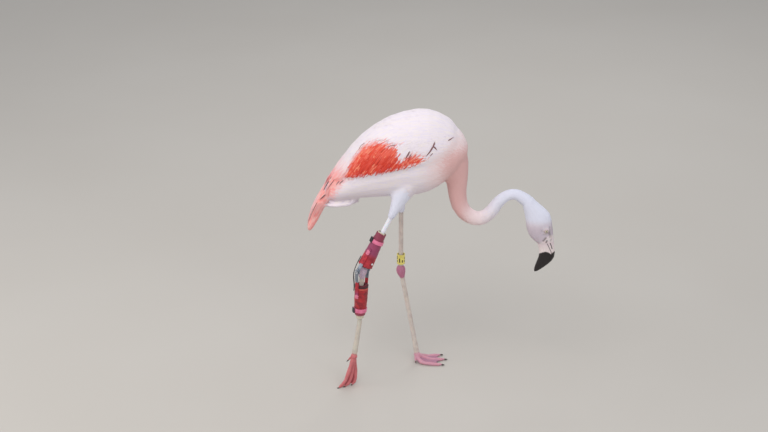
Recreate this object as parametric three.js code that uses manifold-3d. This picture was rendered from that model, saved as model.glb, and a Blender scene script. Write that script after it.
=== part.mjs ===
// A Chilean flamingo as a still, life-size model: it walks with its neck in a low S and its bill
// hanging near the ground, stands on its left foot and trails the right one on its toe tips.
// It wears a hinged brace round its right ankle joint and a marked ring on its left leg.
//
// Millimetres. +X is forward, +Y the bird's left, +Z up. The floor is z = 0.
// Every mesh is one closed body. Neighbours keep the narrow gap GAP between them.

import * as THREE from "three";
import { mergeVertices } from "three/addons/utils/BufferGeometryUtils.js";
import Module from "manifold-3d";

const wasm = await Module();
wasm.setup();

// ---------------------------------------------------------------- driving dimensions

const GAP = 0.3; // left between neighbouring pieces
const HALF_GAP = GAP / 2;

// Trunk with its folded wings, as upright sections from the tail root to the breast:
// place along x, height of the centre, half height, half width.
const BODY_SECTIONS = [
  [-152, 524, 12, 15],
  [-142, 533, 27, 30],
  [-128, 547, 44, 45],
  [-102, 571, 65, 60],
  [-63, 598, 85, 74],
  [-10, 621, 104, 83],
  [42, 634, 114, 87],
  [94, 642, 117, 86],
  [133, 647, 107, 80],
  [172, 651, 82, 67],
  [199, 652, 50, 49],
  [214, 651, 22, 26],
];
const BODY_SQUARENESS = 0.92; // under 1 the sections are fuller than ellipses
const WING_THICKNESS = 9; // how far the folded wing lies over the trunk
const FLANK_FULLNESS = 0.06; // widens the trunk below the wing, where flank feathers overlap it

// Lower and front edge of the folded wing, seen from the side, from shoulder to rear.
const WING_EDGE = [
  [186, 742],
  [184, 690],
  [171, 668],
  [119, 645],
  [36, 624],
  [-30, 608],
  [-102, 592],
  [-150, 566],
];
// Long inner wing feathers that hang past the tail: centre line, half height, half width.
const TERTIAL_SECTIONS = [
  [-96, 15.5, 618, 15, 15],
  [-114, 15, 593, 15, 14.5],
  [-135, 15, 559, 14.5, 14],
  [-153, 15, 527, 14.5, 13],
  [-171, 15, 495, 14.5, 12],
  [-185, 15, 463, 13.5, 10],
  [-196, 15, 434, 8.5, 8],
  [-201, 15, 424, 4, 4],
];
// Tail under the long wing feathers: place along x, height of the centre, half height, half width.
const TAIL_SECTIONS = [
  [-60, 531, 12, 34],
  [-84, 511, 12, 40],
  [-114, 503, 10, 38],
  [-136, 500, 7, 33],
  [-152, 498, 4, 26],
  [-159, 497, 2, 16],
];

// Neck centre line from inside the breast to the head, with its radius with feathers on.
const NECK_POINTS = [
  [140, 664, 52],
  [176, 624, 45],
  [191, 578, 33],
  [194, 530, 25.5],
  [203, 487, 22.5],
  [227, 459, 20.5],
  [257, 452, 19.5],
  [284, 470, 18],
  [305, 500, 16],
  [330, 519, 14.7],
  [356, 519, 15],
  [380, 499, 17.5],
];
// Where the neck is parted into lengths, as shares of the centre line from its visible start.
const NECK_CUTS = [0.04, 0.4, 0.58, 0.78, 1];
const NECK_NAMES = ["neck_base", "neck_lower", "neck_middle", "neck_upper"];

// Head and bill in side view: centre, tilt of the section in degrees, half depth, half width.
const HEAD_SECTIONS = [
  [380.6, 498.4, 50, 17.5, 16.5],
  [398, 473, 35, 26.8, 19.5],
  [410.5, 451.5, 24, 34.3, 21],
  [416, 427, 13, 34.5, 20.5],
  [422.2, 403, 10, 30.9, 17.5],
  [433.6, 383, 9, 22.8, 14.2],
];
const BILL_SECTIONS = [
  [433.9, 381.8, 9, 22.3, 13.8],
  [437.1, 363.9, 3, 21.4, 13.4],
  [438.2, 347.3, -6, 21.5, 14],
  [434.9, 334.3, -12, 19.4, 13.8],
  [427.8, 323.5, -20, 15.9, 12],
  [420.2, 313.6, -28, 11.9, 9.2],
  [413.2, 304.6, -34, 8.2, 6.2],
  [408.6, 298.2, -38, 4.4, 3.6],
  [406.6, 295.4, -40, 1.6, 1.6],
];
// The mouth line in side view, from the corner of the mouth to the tip of the bill.
const GAPE_LINE = [
  [433, 391],
  [440, 376],
  [447.5, 360],
  [450, 347],
  [447, 335],
  [439.3, 323.5],
  [428.3, 312.2],
  [418, 303],
  [410.5, 296.5],
  [404, 290],
];
const EYE_CENTRE = [432.5, 12.2, 421];
const EYE_RADIUS = 8;

// Legs. Each joint is [x, y, z].
const LEGS = {
  left: {
    hip: [24, 42, 588],
    thighEnd: [46, 43, 452],
    ankle: [46, 41, 279],
    shin: [[70, 40, 147]],
    toeJoint: [92, 39, 20],
    toes: {
      inner: { bends: [[100, 21, 8], [121, 12, 5]], tip: [159, 9, 3.5] },
      middle: { bends: [[126, 39, 5]], tip: [168, 40, 3.5] },
      outer: { bends: [[118, 57, 5]], tip: [157, 66, 3.5] },
      hind: { bends: [[87, 31, 13]], tip: [88, 25, 6] },
    },
  },
  right: {
    hip: [64, -40, 588],
    thighEnd: [17, -62, 480],
    ankle: [-57, -77, 334],
    shin: [
      [-63, -80, 250],
      [-66, -84, 180],
    ],
    toeJoint: [-81, -91, 84],
    toes: {
      inner: { bends: [[-78, -87, 46], [-78, -93, 14]], tip: [-86, -99, 1.5] },
      middle: { bends: [[-86, -95, 42], [-93, -103, 14]], tip: [-105, -110, 1.5] },
      outer: { bends: [[-94, -102, 46], [-106, -111, 16]], tip: [-121, -117, 1.5] },
      hind: { bends: [[-91, -87, 76]], tip: [-96, -86, 70] },
    },
  },
};
const THIGH_TOP = [46, 40]; // half sizes of the feathered thigh where it leaves the belly
const THIGH_END = [9.2, 8.8];
const SHANK_RADIUS = 6.2;
const ANKLE_SIZE = [12.8, 10.8]; // half sizes, front to back and across
const ANKLE_REACH = [14, 21]; // how far the joint runs up and down the leg
const ANKLE_TAPER = [0.7, 1.3]; // over 1 it tapers off hollow, above and below its middle
const TARSUS_SIZE = [6.1, 5.2]; // half sizes, front to back and across
const TARSUS_FLARE = [0.15, 0.4]; // how much thicker it is at its upper and lower end, as shares
const TOE_JOINT_RADIUS = 9;
const TOE_RADIUS = [6, 4]; // at the root and near the claw
const HIND_TOE_SIZE = { root: [4, 3.6], taper: 1 };
const WEB_THICKNESS = 2.2;
const WEB_REACH = 0.94; // how far along the toes the web runs
const WEB_HOLLOW = 0.15; // how deep its front edge curves in, as a share of the toe
const CLAW = { length: 8, radius: 2.6, hindRadius: 2.1, flatness: 0.8 };

// Marked ring on the left leg, resting on the ankle joint.
const RING = { bottom: 299, height: 29, inner: 9.6, wall: 1.5 };

// Brace round the right ankle joint: two lined cuffs, joined on each side by two bars that meet
// on a pivot, and behind by an elastic strap. Distances run along each cuff from the joint's
// centre, and angles run round it from the bird's outer side to its rear.
const CUFFS = {
  upper: { rings: [[16, 20.5], [62, 17.6], [118, 13.2]], strap: 91, rivet: 60, sleeve: 1.5 },
  lower: { rings: [[41, 18.6], [88, 17.8], [128, 14.4]], strap: 113, rivet: 68, sleeve: 9 },
};
const CUFF_WALL = 2.4;
const LINING = { bore: 9.6, lip: 1.5, sleeveRadius: 10.5 };
const CUFF_AIM = [14, -62, 480]; // the upper cuff points here; the leg leaves it nearer its front
const STRAP = { width: 11.5, thickness: 1.8 };
const BUCKLE = { width: 12, height: 14, thickness: 3.4, angle: 72 };
const BAR = { width: 10, thickness: 2.2, offset: 21.6, angle: 37, end: 11 };
const PIVOT = { radius: 7.5, cap: 3 };
const RIVET = { radius: 6, height: 1.6 };
const STUD = { along: 31, angle: -40, radius: 3.2 };
const REAR_STRAP = { width: 11, thickness: 2, angle: 96, bulge: 23, reach: 18 };

// ---------------------------------------------------------------- materials

function finish(color, roughness, metalness = 0) {
  return new THREE.MeshStandardMaterial({ color, roughness, metalness });
}
const FINISH = {
  plumage: finish(0xeedfe0, 0.85),
  neckPlumage: finish(0xeccfca, 0.85),
  wingPlumage: finish(0xe0654a, 0.8),
  coralPlumage: finish(0xeaa394, 0.8),
  legSkin: finish(0xc3b3a6, 0.6),
  jointSkin: finish(0xc08496, 0.6),
  footSkin: finish(0xcd90a4, 0.6),
  billPale: finish(0xe2cfc9, 0.45),
  billDark: finish(0x1d1918, 0.4),
  claw: finish(0x2b2523, 0.5),
  eye: finish(0xd9c25a, 0.1),
  ring: finish(0xdccb4a, 0.45),
  cuff: finish(0xa8283a, 0.4),
  lining: finish(0xe6dfca, 0.9),
  strap: finish(0xc9627f, 0.7),
  buckle: finish(0x232326, 0.5),
  steel: finish(0xaeb2b8, 0.35, 0.9),
};

// ---------------------------------------------------------------- building blocks

// Numbers of a row of sections at share t of their length, smoothly between them.
function between(rows, t) {
  const at = Math.min(Math.max(t, 0), 1) * (rows.length - 1);
  const i = Math.min(Math.floor(at), rows.length - 2);
  const w = at - i;
  const row = (k) => rows[Math.min(Math.max(k, 0), rows.length - 1)];
  return rows[0].map((_, c) => {
    const [p, q, r, s] = [row(i - 1)[c], row(i)[c], row(i + 1)[c], row(i + 2)[c]];
    const curve = 2 * q + (r - p) * w + (2 * p - 5 * q + 4 * r - s) * w * w;
    return 0.5 * (curve + (3 * q - p - 3 * r + s) * w * w * w);
  });
}

// A closed body from a cylinder whose rings are moved to placeAt(t, angle, out):
// t runs from end to end, angle round the ring, and out is 0 on the axis and 1 on the skin.
function loft(placeAt, around, along) {
  const geometry = new THREE.CylinderGeometry(1, 1, 1, around, along);
  geometry.deleteAttribute("normal");
  geometry.deleteAttribute("uv");
  const merged = mergeVertices(geometry, 1e-5);
  const position = merged.attributes.position;
  for (let i = 0; i < position.count; i++) {
    const [x, y, z] = [position.getX(i), position.getY(i), position.getZ(i)];
    const place = placeAt(y + 0.5, Math.atan2(z, x), Math.min(1, Math.hypot(x, z)));
    position.setXYZ(i, place.x, place.y, place.z);
  }
  return solidOf(merged);
}

// A manifold-3d solid from a geometry whose shared vertices are merged.
function solidOf(geometry) {
  const source = geometry.index ? geometry.toNonIndexed() : geometry.clone();
  source.deleteAttribute("normal");
  source.deleteAttribute("uv");
  const merged = mergeVertices(source, 1e-4);
  const make = (triVerts) =>
    new wasm.Manifold(
      new wasm.Mesh({ numProp: 3, vertProperties: merged.attributes.position.array, triVerts }),
    );
  const triangles = new Uint32Array(merged.index.array);
  const solid = make(triangles);
  return solid.volume() < 0 ? make(triangles.slice().reverse()) : solid;
}

// A three.js mesh from a manifold-3d solid.
function piece(name, solid, material) {
  const { numProp, vertProperties, triVerts } = solid.getMesh();
  const places = new Float32Array((vertProperties.length / numProp) * 3);
  for (let i = 0; i < places.length / 3; i++)
    places.set(vertProperties.subarray(i * numProp, i * numProp + 3), i * 3);
  const geometry = new THREE.BufferGeometry();
  geometry.setAttribute("position", new THREE.BufferAttribute(places, 3));
  geometry.setIndex(new THREE.BufferAttribute(triVerts, 1));
  geometry.computeVertexNormals();
  const mesh = new THREE.Mesh(geometry, material.clone());
  mesh.name = name;
  return mesh;
}

// The largest body of a solid that a cut has left in several.
function mainBody(solid) {
  return solid.decompose().sort((a, b) => b.volume() - a.volume())[0];
}

function place(geometry, matrix) {
  return solidOf(geometry.clone().applyMatrix4(matrix));
}

const vec = (p) => new THREE.Vector3(...p);

// Turns +Y to direction, with +X kept as near to side as it can be, at origin.
function frameAlong(origin, direction, side) {
  const y = direction.clone().normalize();
  const z = side.clone().cross(y).normalize();
  const x = y.clone().cross(z).normalize();
  return new THREE.Matrix4().makeBasis(x, y, z).setPosition(origin);
}

// A tube of oval section along a curve, from share a to b of it. sizeAt gives its half sizes
// in the plane of forward and across it, and grow makes it thicker all over.
function limb(curve, sizeAt, { from = 0, to = 1, around = 14, along = 10, grow = 0 } = {}) {
  const across = new THREE.Vector3(0, 1, 0);
  return loft(
    (t, angle, out) => {
      const share = from + (to - from) * t;
      const tangent = curve.getTangent(share);
      const front = across.clone().cross(tangent).normalize();
      const side = tangent.clone().cross(front);
      const [deep, wide] = sizeAt(share);
      return curve
        .getPoint(share)
        .addScaledVector(front, (deep + grow) * out * Math.cos(angle))
        .addScaledVector(side, (wide + grow) * out * Math.sin(angle));
    },
    around,
    along,
  );
}

// A flat outline in the x-z plane, as a slab from y = low to y = high.
function slab(outline, low, high) {
  const shape = new THREE.Shape(outline.map(([x, z]) => new THREE.Vector2(x, z)));
  const geometry = new THREE.ExtrudeGeometry(shape, { depth: high - low, bevelEnabled: false });
  geometry.rotateX(Math.PI / 2);
  geometry.translate(0, high, 0);
  return solidOf(geometry);
}

const both = ["left", "right"];
const sign = { left: 1, right: -1 };

// ---------------------------------------------------------------- trunk, wings and tail

// The body's outer form: grow thickens it, and fullness widens its lower half.
function bodyForm(grow, lift = 0, fullness = 0) {
  return loft(
    (t, angle, out) => {
      const [x, z, high, wide] = between(BODY_SECTIONS, t);
      const [c, s] = [Math.cos(angle), Math.sin(angle)];
      const round = (v) => Math.sign(v) * Math.abs(v) ** BODY_SQUARENESS;
      const width = (wide + grow) * (1 - fullness * s);
      return new THREE.Vector3(
        x,
        width * out * round(c),
        z + lift + (high + grow + lift) * out * round(s),
      );
    },
    24,
    16,
  );
}

function makeTrunk(grow = 0) {
  const sunk = -WING_THICKNESS / 2;
  return bodyForm(sunk + grow, sunk / 2, FLANK_FULLNESS);
}

function makeWing(side) {
  const top = 1000;
  const outline = [...WING_EDGE, [-175, 560], [-175, top], [230, top], [230, 742]];
  const region =
    sign[side] > 0 ? slab(outline, HALF_GAP, 200) : slab(outline, -200, -HALF_GAP);
  return mainBody(bodyForm(0).intersect(region).subtract(makeTrunk(GAP)));
}

function makeTertials(side, grow = 0) {
  return loft(
    (t, angle, out) => {
      const ahead = between(TERTIAL_SECTIONS, Math.min(1, t + 0.02));
      const [x, y, z, high, wide] = between(TERTIAL_SECTIONS, t);
      const back = between(TERTIAL_SECTIONS, Math.max(0, t - 0.02));
      const tangent = new THREE.Vector3(ahead[0] - back[0], 0, ahead[2] - back[2]).normalize();
      const up = new THREE.Vector3(-tangent.z, 0, tangent.x);
      const centre = new THREE.Vector3(x, sign[side] * y, z);
      return centre
        .addScaledVector(up, (high + grow) * out * Math.sin(angle))
        .add(new THREE.Vector3(0, (wide + grow) * out * Math.cos(angle), 0));
    },
    10,
    9,
  );
}

function makeTail() {
  return loft(
    (t, angle, out) => {
      const [x, z, high, wide] = between(TAIL_SECTIONS, t);
      return new THREE.Vector3(
        x,
        wide * out * Math.cos(angle),
        z + high * out * Math.sin(angle),
      );
    },
    12,
    4,
  );
}

// ---------------------------------------------------------------- neck, head and bill

const neckCurve = new THREE.CatmullRomCurve3(
  NECK_POINTS.map(([x, z]) => new THREE.Vector3(x, 0, z)),
  false,
  "catmullrom",
);
const neckSize = (share) => {
  const [radius] = between(NECK_POINTS.map(([, , r]) => [r]), share);
  return [radius, radius * 0.94];
};

function neckLength(from, to, grow = 0) {
  return limb(neckCurve, neckSize, { from, to, around: 14, along: 8, grow });
}

// A body through head or bill sections, from section first on.
function profileForm(sections, grow, around, along) {
  return loft(
    (t, angle, out) => {
      const [x, z, tilt, deep, wide] = between(sections, t);
      const turn = THREE.MathUtils.degToRad(tilt);
      const front = (deep + grow) * out * Math.cos(angle);
      return new THREE.Vector3(
        x + front * Math.cos(turn),
        (wide + grow) * out * Math.sin(angle),
        z + front * Math.sin(turn),
      );
    },
    around,
    along,
  );
}

function makeEye(side, grow = 0) {
  const ball = new THREE.SphereGeometry(EYE_RADIUS + grow, 12, 8);
  const [x, y, z] = EYE_CENTRE;
  return place(ball, new THREE.Matrix4().makeTranslation(x, sign[side] * y, z));
}

function makeBills() {
  const whole = profileForm(BILL_SECTIONS, 0, 14, 10);
  const mouth = new THREE.SplineCurve(GAPE_LINE.map((p) => new THREE.Vector2(...p)));
  const line = mouth.getPoints(12).map((p) => [p.x, p.y]);
  const [root, tip] = [line[0], line.at(-1)];
  const [beyond, below, above, aside] = [root[0] + 90, tip[1] - 60, root[1] + 20, 60];
  const ahead = [[tip[0] - 10, below], [beyond, below], [beyond, above], [root[0], above]];
  const lid = slab([...line, ...ahead], -aside, aside);
  const grownLid = lid.add(lid.translate([-GAP, 0, 0]));
  return { upper: mainBody(whole.intersect(lid)), lower: mainBody(whole.subtract(grownLid)) };
}

// ---------------------------------------------------------------- legs and feet

function limbCurve(points) {
  return new THREE.CatmullRomCurve3(points.map(vec), false, "catmullrom");
}

// The share of a curve's length at which it is nearest to a point.
function shareNear(curve, point) {
  let best = 0;
  const away = (share) => curve.getPoint(share).distanceTo(point);
  for (let share = 0; share <= 1; share += 0.002) if (away(share) < away(best)) best = share;
  return best;
}

function makeLeg(side) {
  const leg = LEGS[side];
  const [hip, thighEnd, ankle] = [vec(leg.hip), vec(leg.thighEnd), vec(leg.ankle)];
  const upperAxis = ankle.clone().sub(thighEnd).normalize();
  const ankleTop = ankle.clone().addScaledVector(upperAxis, -ANKLE_REACH[0]);

  const thighCurve = new THREE.CubicBezierCurve3(
    hip,
    hip.clone().lerp(thighEnd, 0.3),
    thighEnd.clone().addScaledVector(upperAxis, -45),
    thighEnd,
  );
  const thighSize = (share) => {
    const swell = (1 - share) ** 1.25;
    return THIGH_TOP.map((top, i) => THIGH_END[i] + (top - THIGH_END[i]) * swell);
  };
  const thigh = limb(thighCurve, thighSize, { around: 12, along: 6 });

  const shankStart = thighEnd.clone().addScaledVector(upperAxis, GAP);
  const shank = limb(
    new THREE.LineCurve3(shankStart, ankleTop.clone().addScaledVector(upperAxis, -GAP)),
    () => [SHANK_RADIUS, SHANK_RADIUS * 0.92],
    { around: 10, along: 2 },
  );

  const tarsusCurve = limbCurve([leg.ankle, ...leg.shin, leg.toeJoint]);
  const lowerAxis = tarsusCurve.getTangent(0);
  const ankleBottom = ankle.clone().addScaledVector(lowerAxis, ANKLE_REACH[1]);
  const ankleCurve = new THREE.CatmullRomCurve3([ankleTop, ankle, ankleBottom]);
  const knob = (share) => {
    const bulge = Math.sin(Math.PI * share) ** ANKLE_TAPER[share < 0.5 ? 0 : 1];
    return [
      SHANK_RADIUS + 0.6 + (ANKLE_SIZE[0] - SHANK_RADIUS - 0.6) * bulge,
      SHANK_RADIUS + (ANKLE_SIZE[1] - SHANK_RADIUS) * bulge,
    ];
  };
  const ankleJoint = limb(ankleCurve, knob, { around: 10, along: 6 });

  const start = shareNear(tarsusCurve, ankleBottom.clone().addScaledVector(lowerAxis, GAP));
  const length = tarsusCurve.getLength();
  const end = 1 - (TOE_JOINT_RADIUS + GAP) / length;
  const tarsusSize = (share) => {
    const flare = 1 + TARSUS_FLARE[share < 0.5 ? 0 : 1] * (Math.abs(share - 0.5) * 2) ** 4;
    return TARSUS_SIZE.map((half) => half * flare);
  };
  const tarsus = limb(tarsusCurve, tarsusSize, { from: start, to: end, around: 9, along: 6 });
  return { thigh, shank, ankle: ankleJoint, tarsus };
}

// One toe's centre line, from the toe joint by its bends to its tip.
function toeCurve(leg, name) {
  const { bends, tip } = leg.toes[name];
  return limbCurve([leg.toeJoint, ...bends, tip]);
}

const toeSize = (share) => {
  const knuckles = 1 + 0.1 * Math.cos(share * Math.PI * 5);
  const radius = (TOE_RADIUS[0] + (TOE_RADIUS[1] - TOE_RADIUS[0]) * share) * knuckles;
  return [radius, radius * 0.94];
};

function toeBody(leg, name) {
  return limb(toeCurve(leg, name), toeSize, { around: 7, along: 5 });
}

// The web between two toes: a thin sheet whose front edge curves in.
function webBetween(leg, first, second) {
  const [a, b] = [toeCurve(leg, first), toeCurve(leg, second)];
  const [across, along] = [3, 4];
  const half = WEB_THICKNESS / 2;
  const rows = [];
  for (let j = 0; j <= along; j++)
    for (let i = 0; i <= across; i++) {
      const w = i / across;
      const hollow = WEB_HOLLOW * Math.sin(Math.PI * w);
      const share = 0.03 + (j / along) * (WEB_REACH - hollow);
      const point = a.getPoint(share).lerp(b.getPoint(share), w);
      point.z = Math.max(point.z, half + 0.6);
      rows.push(point);
    }
  const root = a.getPoint(0.05);
  const up = b.getPoint(0.6).sub(root).cross(a.getPoint(0.6).sub(root)).normalize();
  const stride = across + 1;
  const count = rows.length;
  const places = [];
  for (const offset of [half, -half])
    for (const point of rows) places.push(...point.clone().addScaledVector(up, offset).toArray());
  const index = [];
  const quad = (s, t, u, v) => index.push(s, t, u, s, u, v);
  for (let j = 0; j < along; j++)
    for (let i = 0; i < across; i++) {
      const s = j * stride + i;
      quad(s, s + 1, s + 1 + stride, s + stride);
      quad(s + count, s + stride + count, s + 1 + stride + count, s + 1 + count);
    }
  const rim = [];
  for (let i = 0; i < across; i++) rim.push(i);
  for (let j = 0; j < along; j++) rim.push(j * stride + across);
  for (let i = across; i > 0; i--) rim.push(along * stride + i);
  for (let j = along; j > 0; j--) rim.push(j * stride);
  rim.forEach((s, k) => {
    const t = rim[(k + 1) % rim.length];
    quad(s, s + count, t + count, t);
  });
  const geometry = new THREE.BufferGeometry();
  geometry.setAttribute("position", new THREE.Float32BufferAttribute(places, 3));
  geometry.setIndex(index);
  return solidOf(geometry);
}

const floorCut = (() => {
  const box = new THREE.BoxGeometry(1000, 1000, 100);
  return place(box, new THREE.Matrix4().makeTranslation(0, 0, -50));
})();

function makeFoot(side) {
  const leg = LEGS[side];
  const knob = new THREE.SphereGeometry(TOE_JOINT_RADIUS, 10, 7);
  let foot = place(knob, new THREE.Matrix4().setPosition(vec(leg.toeJoint)));
  for (const name of ["inner", "middle", "outer"]) foot = foot.add(toeBody(leg, name));
  foot = foot.add(webBetween(leg, "inner", "middle"));
  foot = foot.add(webBetween(leg, "middle", "outer"));
  return mainBody(foot.subtract(floorCut));
}

function makeHindToe(side, foot) {
  const leg = LEGS[side];
  const size = (share) => HIND_TOE_SIZE.root.map((half) => half - HIND_TOE_SIZE.taper * share);
  const body = limb(toeCurve(leg, "hind"), size, { around: 8, along: 3 });
  const joint = vec(leg.toeJoint);
  const clear = new THREE.SphereGeometry(TOE_JOINT_RADIUS + GAP, 10, 7);
  const knob = place(clear, new THREE.Matrix4().setPosition(joint));
  return mainBody(body.subtract(knob).subtract(foot).subtract(floorCut));
}

function makeClaw(side, name) {
  const leg = LEGS[side];
  const curve = toeCurve(leg, name);
  const tip = curve.getPoint(1);
  const direction = curve.getTangent(1);
  const start = tip.clone().addScaledVector(direction, GAP * 2);
  const bent = start.clone().addScaledVector(direction, CLAW.length);
  const end = bent.clone();
  const radius = name === "hind" ? CLAW.hindRadius : CLAW.radius;
  end.z = Math.max(end.z, radius * 0.9);
  const body = limb(
    new THREE.QuadraticBezierCurve3(start, start.clone().lerp(bent, 0.5), end),
    (share) => {
      const half = radius * Math.sqrt(Math.max(0.06, 1 - share * share));
      return [half * CLAW.flatness, half];
    },
    { around: 7, along: 3 },
  );
  return mainBody(body.subtract(floorCut));
}

// ---------------------------------------------------------------- ring and brace

// A round wall, turned about the y axis and laid along an axis from a centre.
function sleeve(centre, axis, from, to, inner, outer) {
  const profile = [
    [inner[0], from],
    [outer[0], from],
    [outer[1], to],
    [inner[1], to],
    [inner[0], from],
  ].map(([r, y]) => new THREE.Vector2(r, y));
  const matrix = frameAlong(centre, axis, new THREE.Vector3(0, 1, 0));
  return place(new THREE.LatheGeometry(profile, 20), matrix);
}

function makeRing() {
  const leg = LEGS.left;
  const [top, ankle] = [vec(leg.thighEnd), vec(leg.ankle)];
  const axis = top.clone().sub(ankle).normalize();
  const centre = ankle.clone().addScaledVector(axis, (RING.bottom - ankle.z) / axis.z);
  const outer = RING.inner + RING.wall;
  return sleeve(centre, axis, 0, RING.height, [RING.inner, RING.inner], [outer, outer]);
}

// A round wall about an axis, through rings of [distance along it, outer radius].
function shell(centre, axis, rings, inner) {
  const profile = [
    ...rings.map(([d, r]) => [r, d]),
    ...rings.map(([d, r]) => [inner(r), d]).reverse(),
  ];
  profile.push(profile[0]);
  const matrix = frameAlong(centre, axis, new THREE.Vector3(0, 1, 0));
  const points = profile.map(([r, y]) => new THREE.Vector2(r, y));
  return place(new THREE.LatheGeometry(points, 16), matrix);
}

// The outer radius of a cuff at a distance from the joint.
function cuffRadius({ rings }, d) {
  const last = rings.length - 1;
  const i = d < rings[1][0] ? 0 : last - 1;
  const [[d0, r0], [d1, r1]] = [rings[i], rings[i + 1]];
  return r0 + ((r1 - r0) * (d - d0)) / (d1 - d0);
}

// The direction at an angle round an axis, from the bird's outer side to its rear.
function roundAxis(axis, degrees) {
  const turn = THREE.MathUtils.degToRad(degrees);
  const out = new THREE.Vector3(0, -1, 0);
  out.addScaledVector(axis, -out.dot(axis)).normalize();
  const rear = new THREE.Vector3(-1, 0, 0);
  rear.addScaledVector(axis, -rear.dot(axis)).addScaledVector(out, -rear.dot(out)).normalize();
  return out.multiplyScalar(Math.cos(turn)).addScaledVector(rear, Math.sin(turn));
}

// A flat strip along a curve, with its face to outward.
function strip(points, outward, width, thickness, along) {
  const curve = new THREE.CatmullRomCurve3(points);
  return loft(
    (t, angle, out) => {
      const tangent = curve.getTangent(t);
      const normal = outward.clone().addScaledVector(tangent, -outward.dot(tangent)).normalize();
      const side = tangent.clone().cross(normal);
      const corner = angle + Math.PI / 4;
      return curve
        .getPoint(t)
        .addScaledVector(side, width * Math.SQRT1_2 * out * Math.cos(corner))
        .addScaledVector(normal, thickness * Math.SQRT1_2 * out * Math.sin(corner));
    },
    4,
    along,
  );
}

// A round plate or stud, its foot at a point and its axis along a direction.
function stud(foot, direction, radius, height, topRadius = radius) {
  const disc = new THREE.CylinderGeometry(topRadius, radius, height, 12);
  disc.translate(0, height / 2, 0);
  return place(disc, frameAlong(foot, direction, new THREE.Vector3(0, 0, 1)));
}

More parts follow.
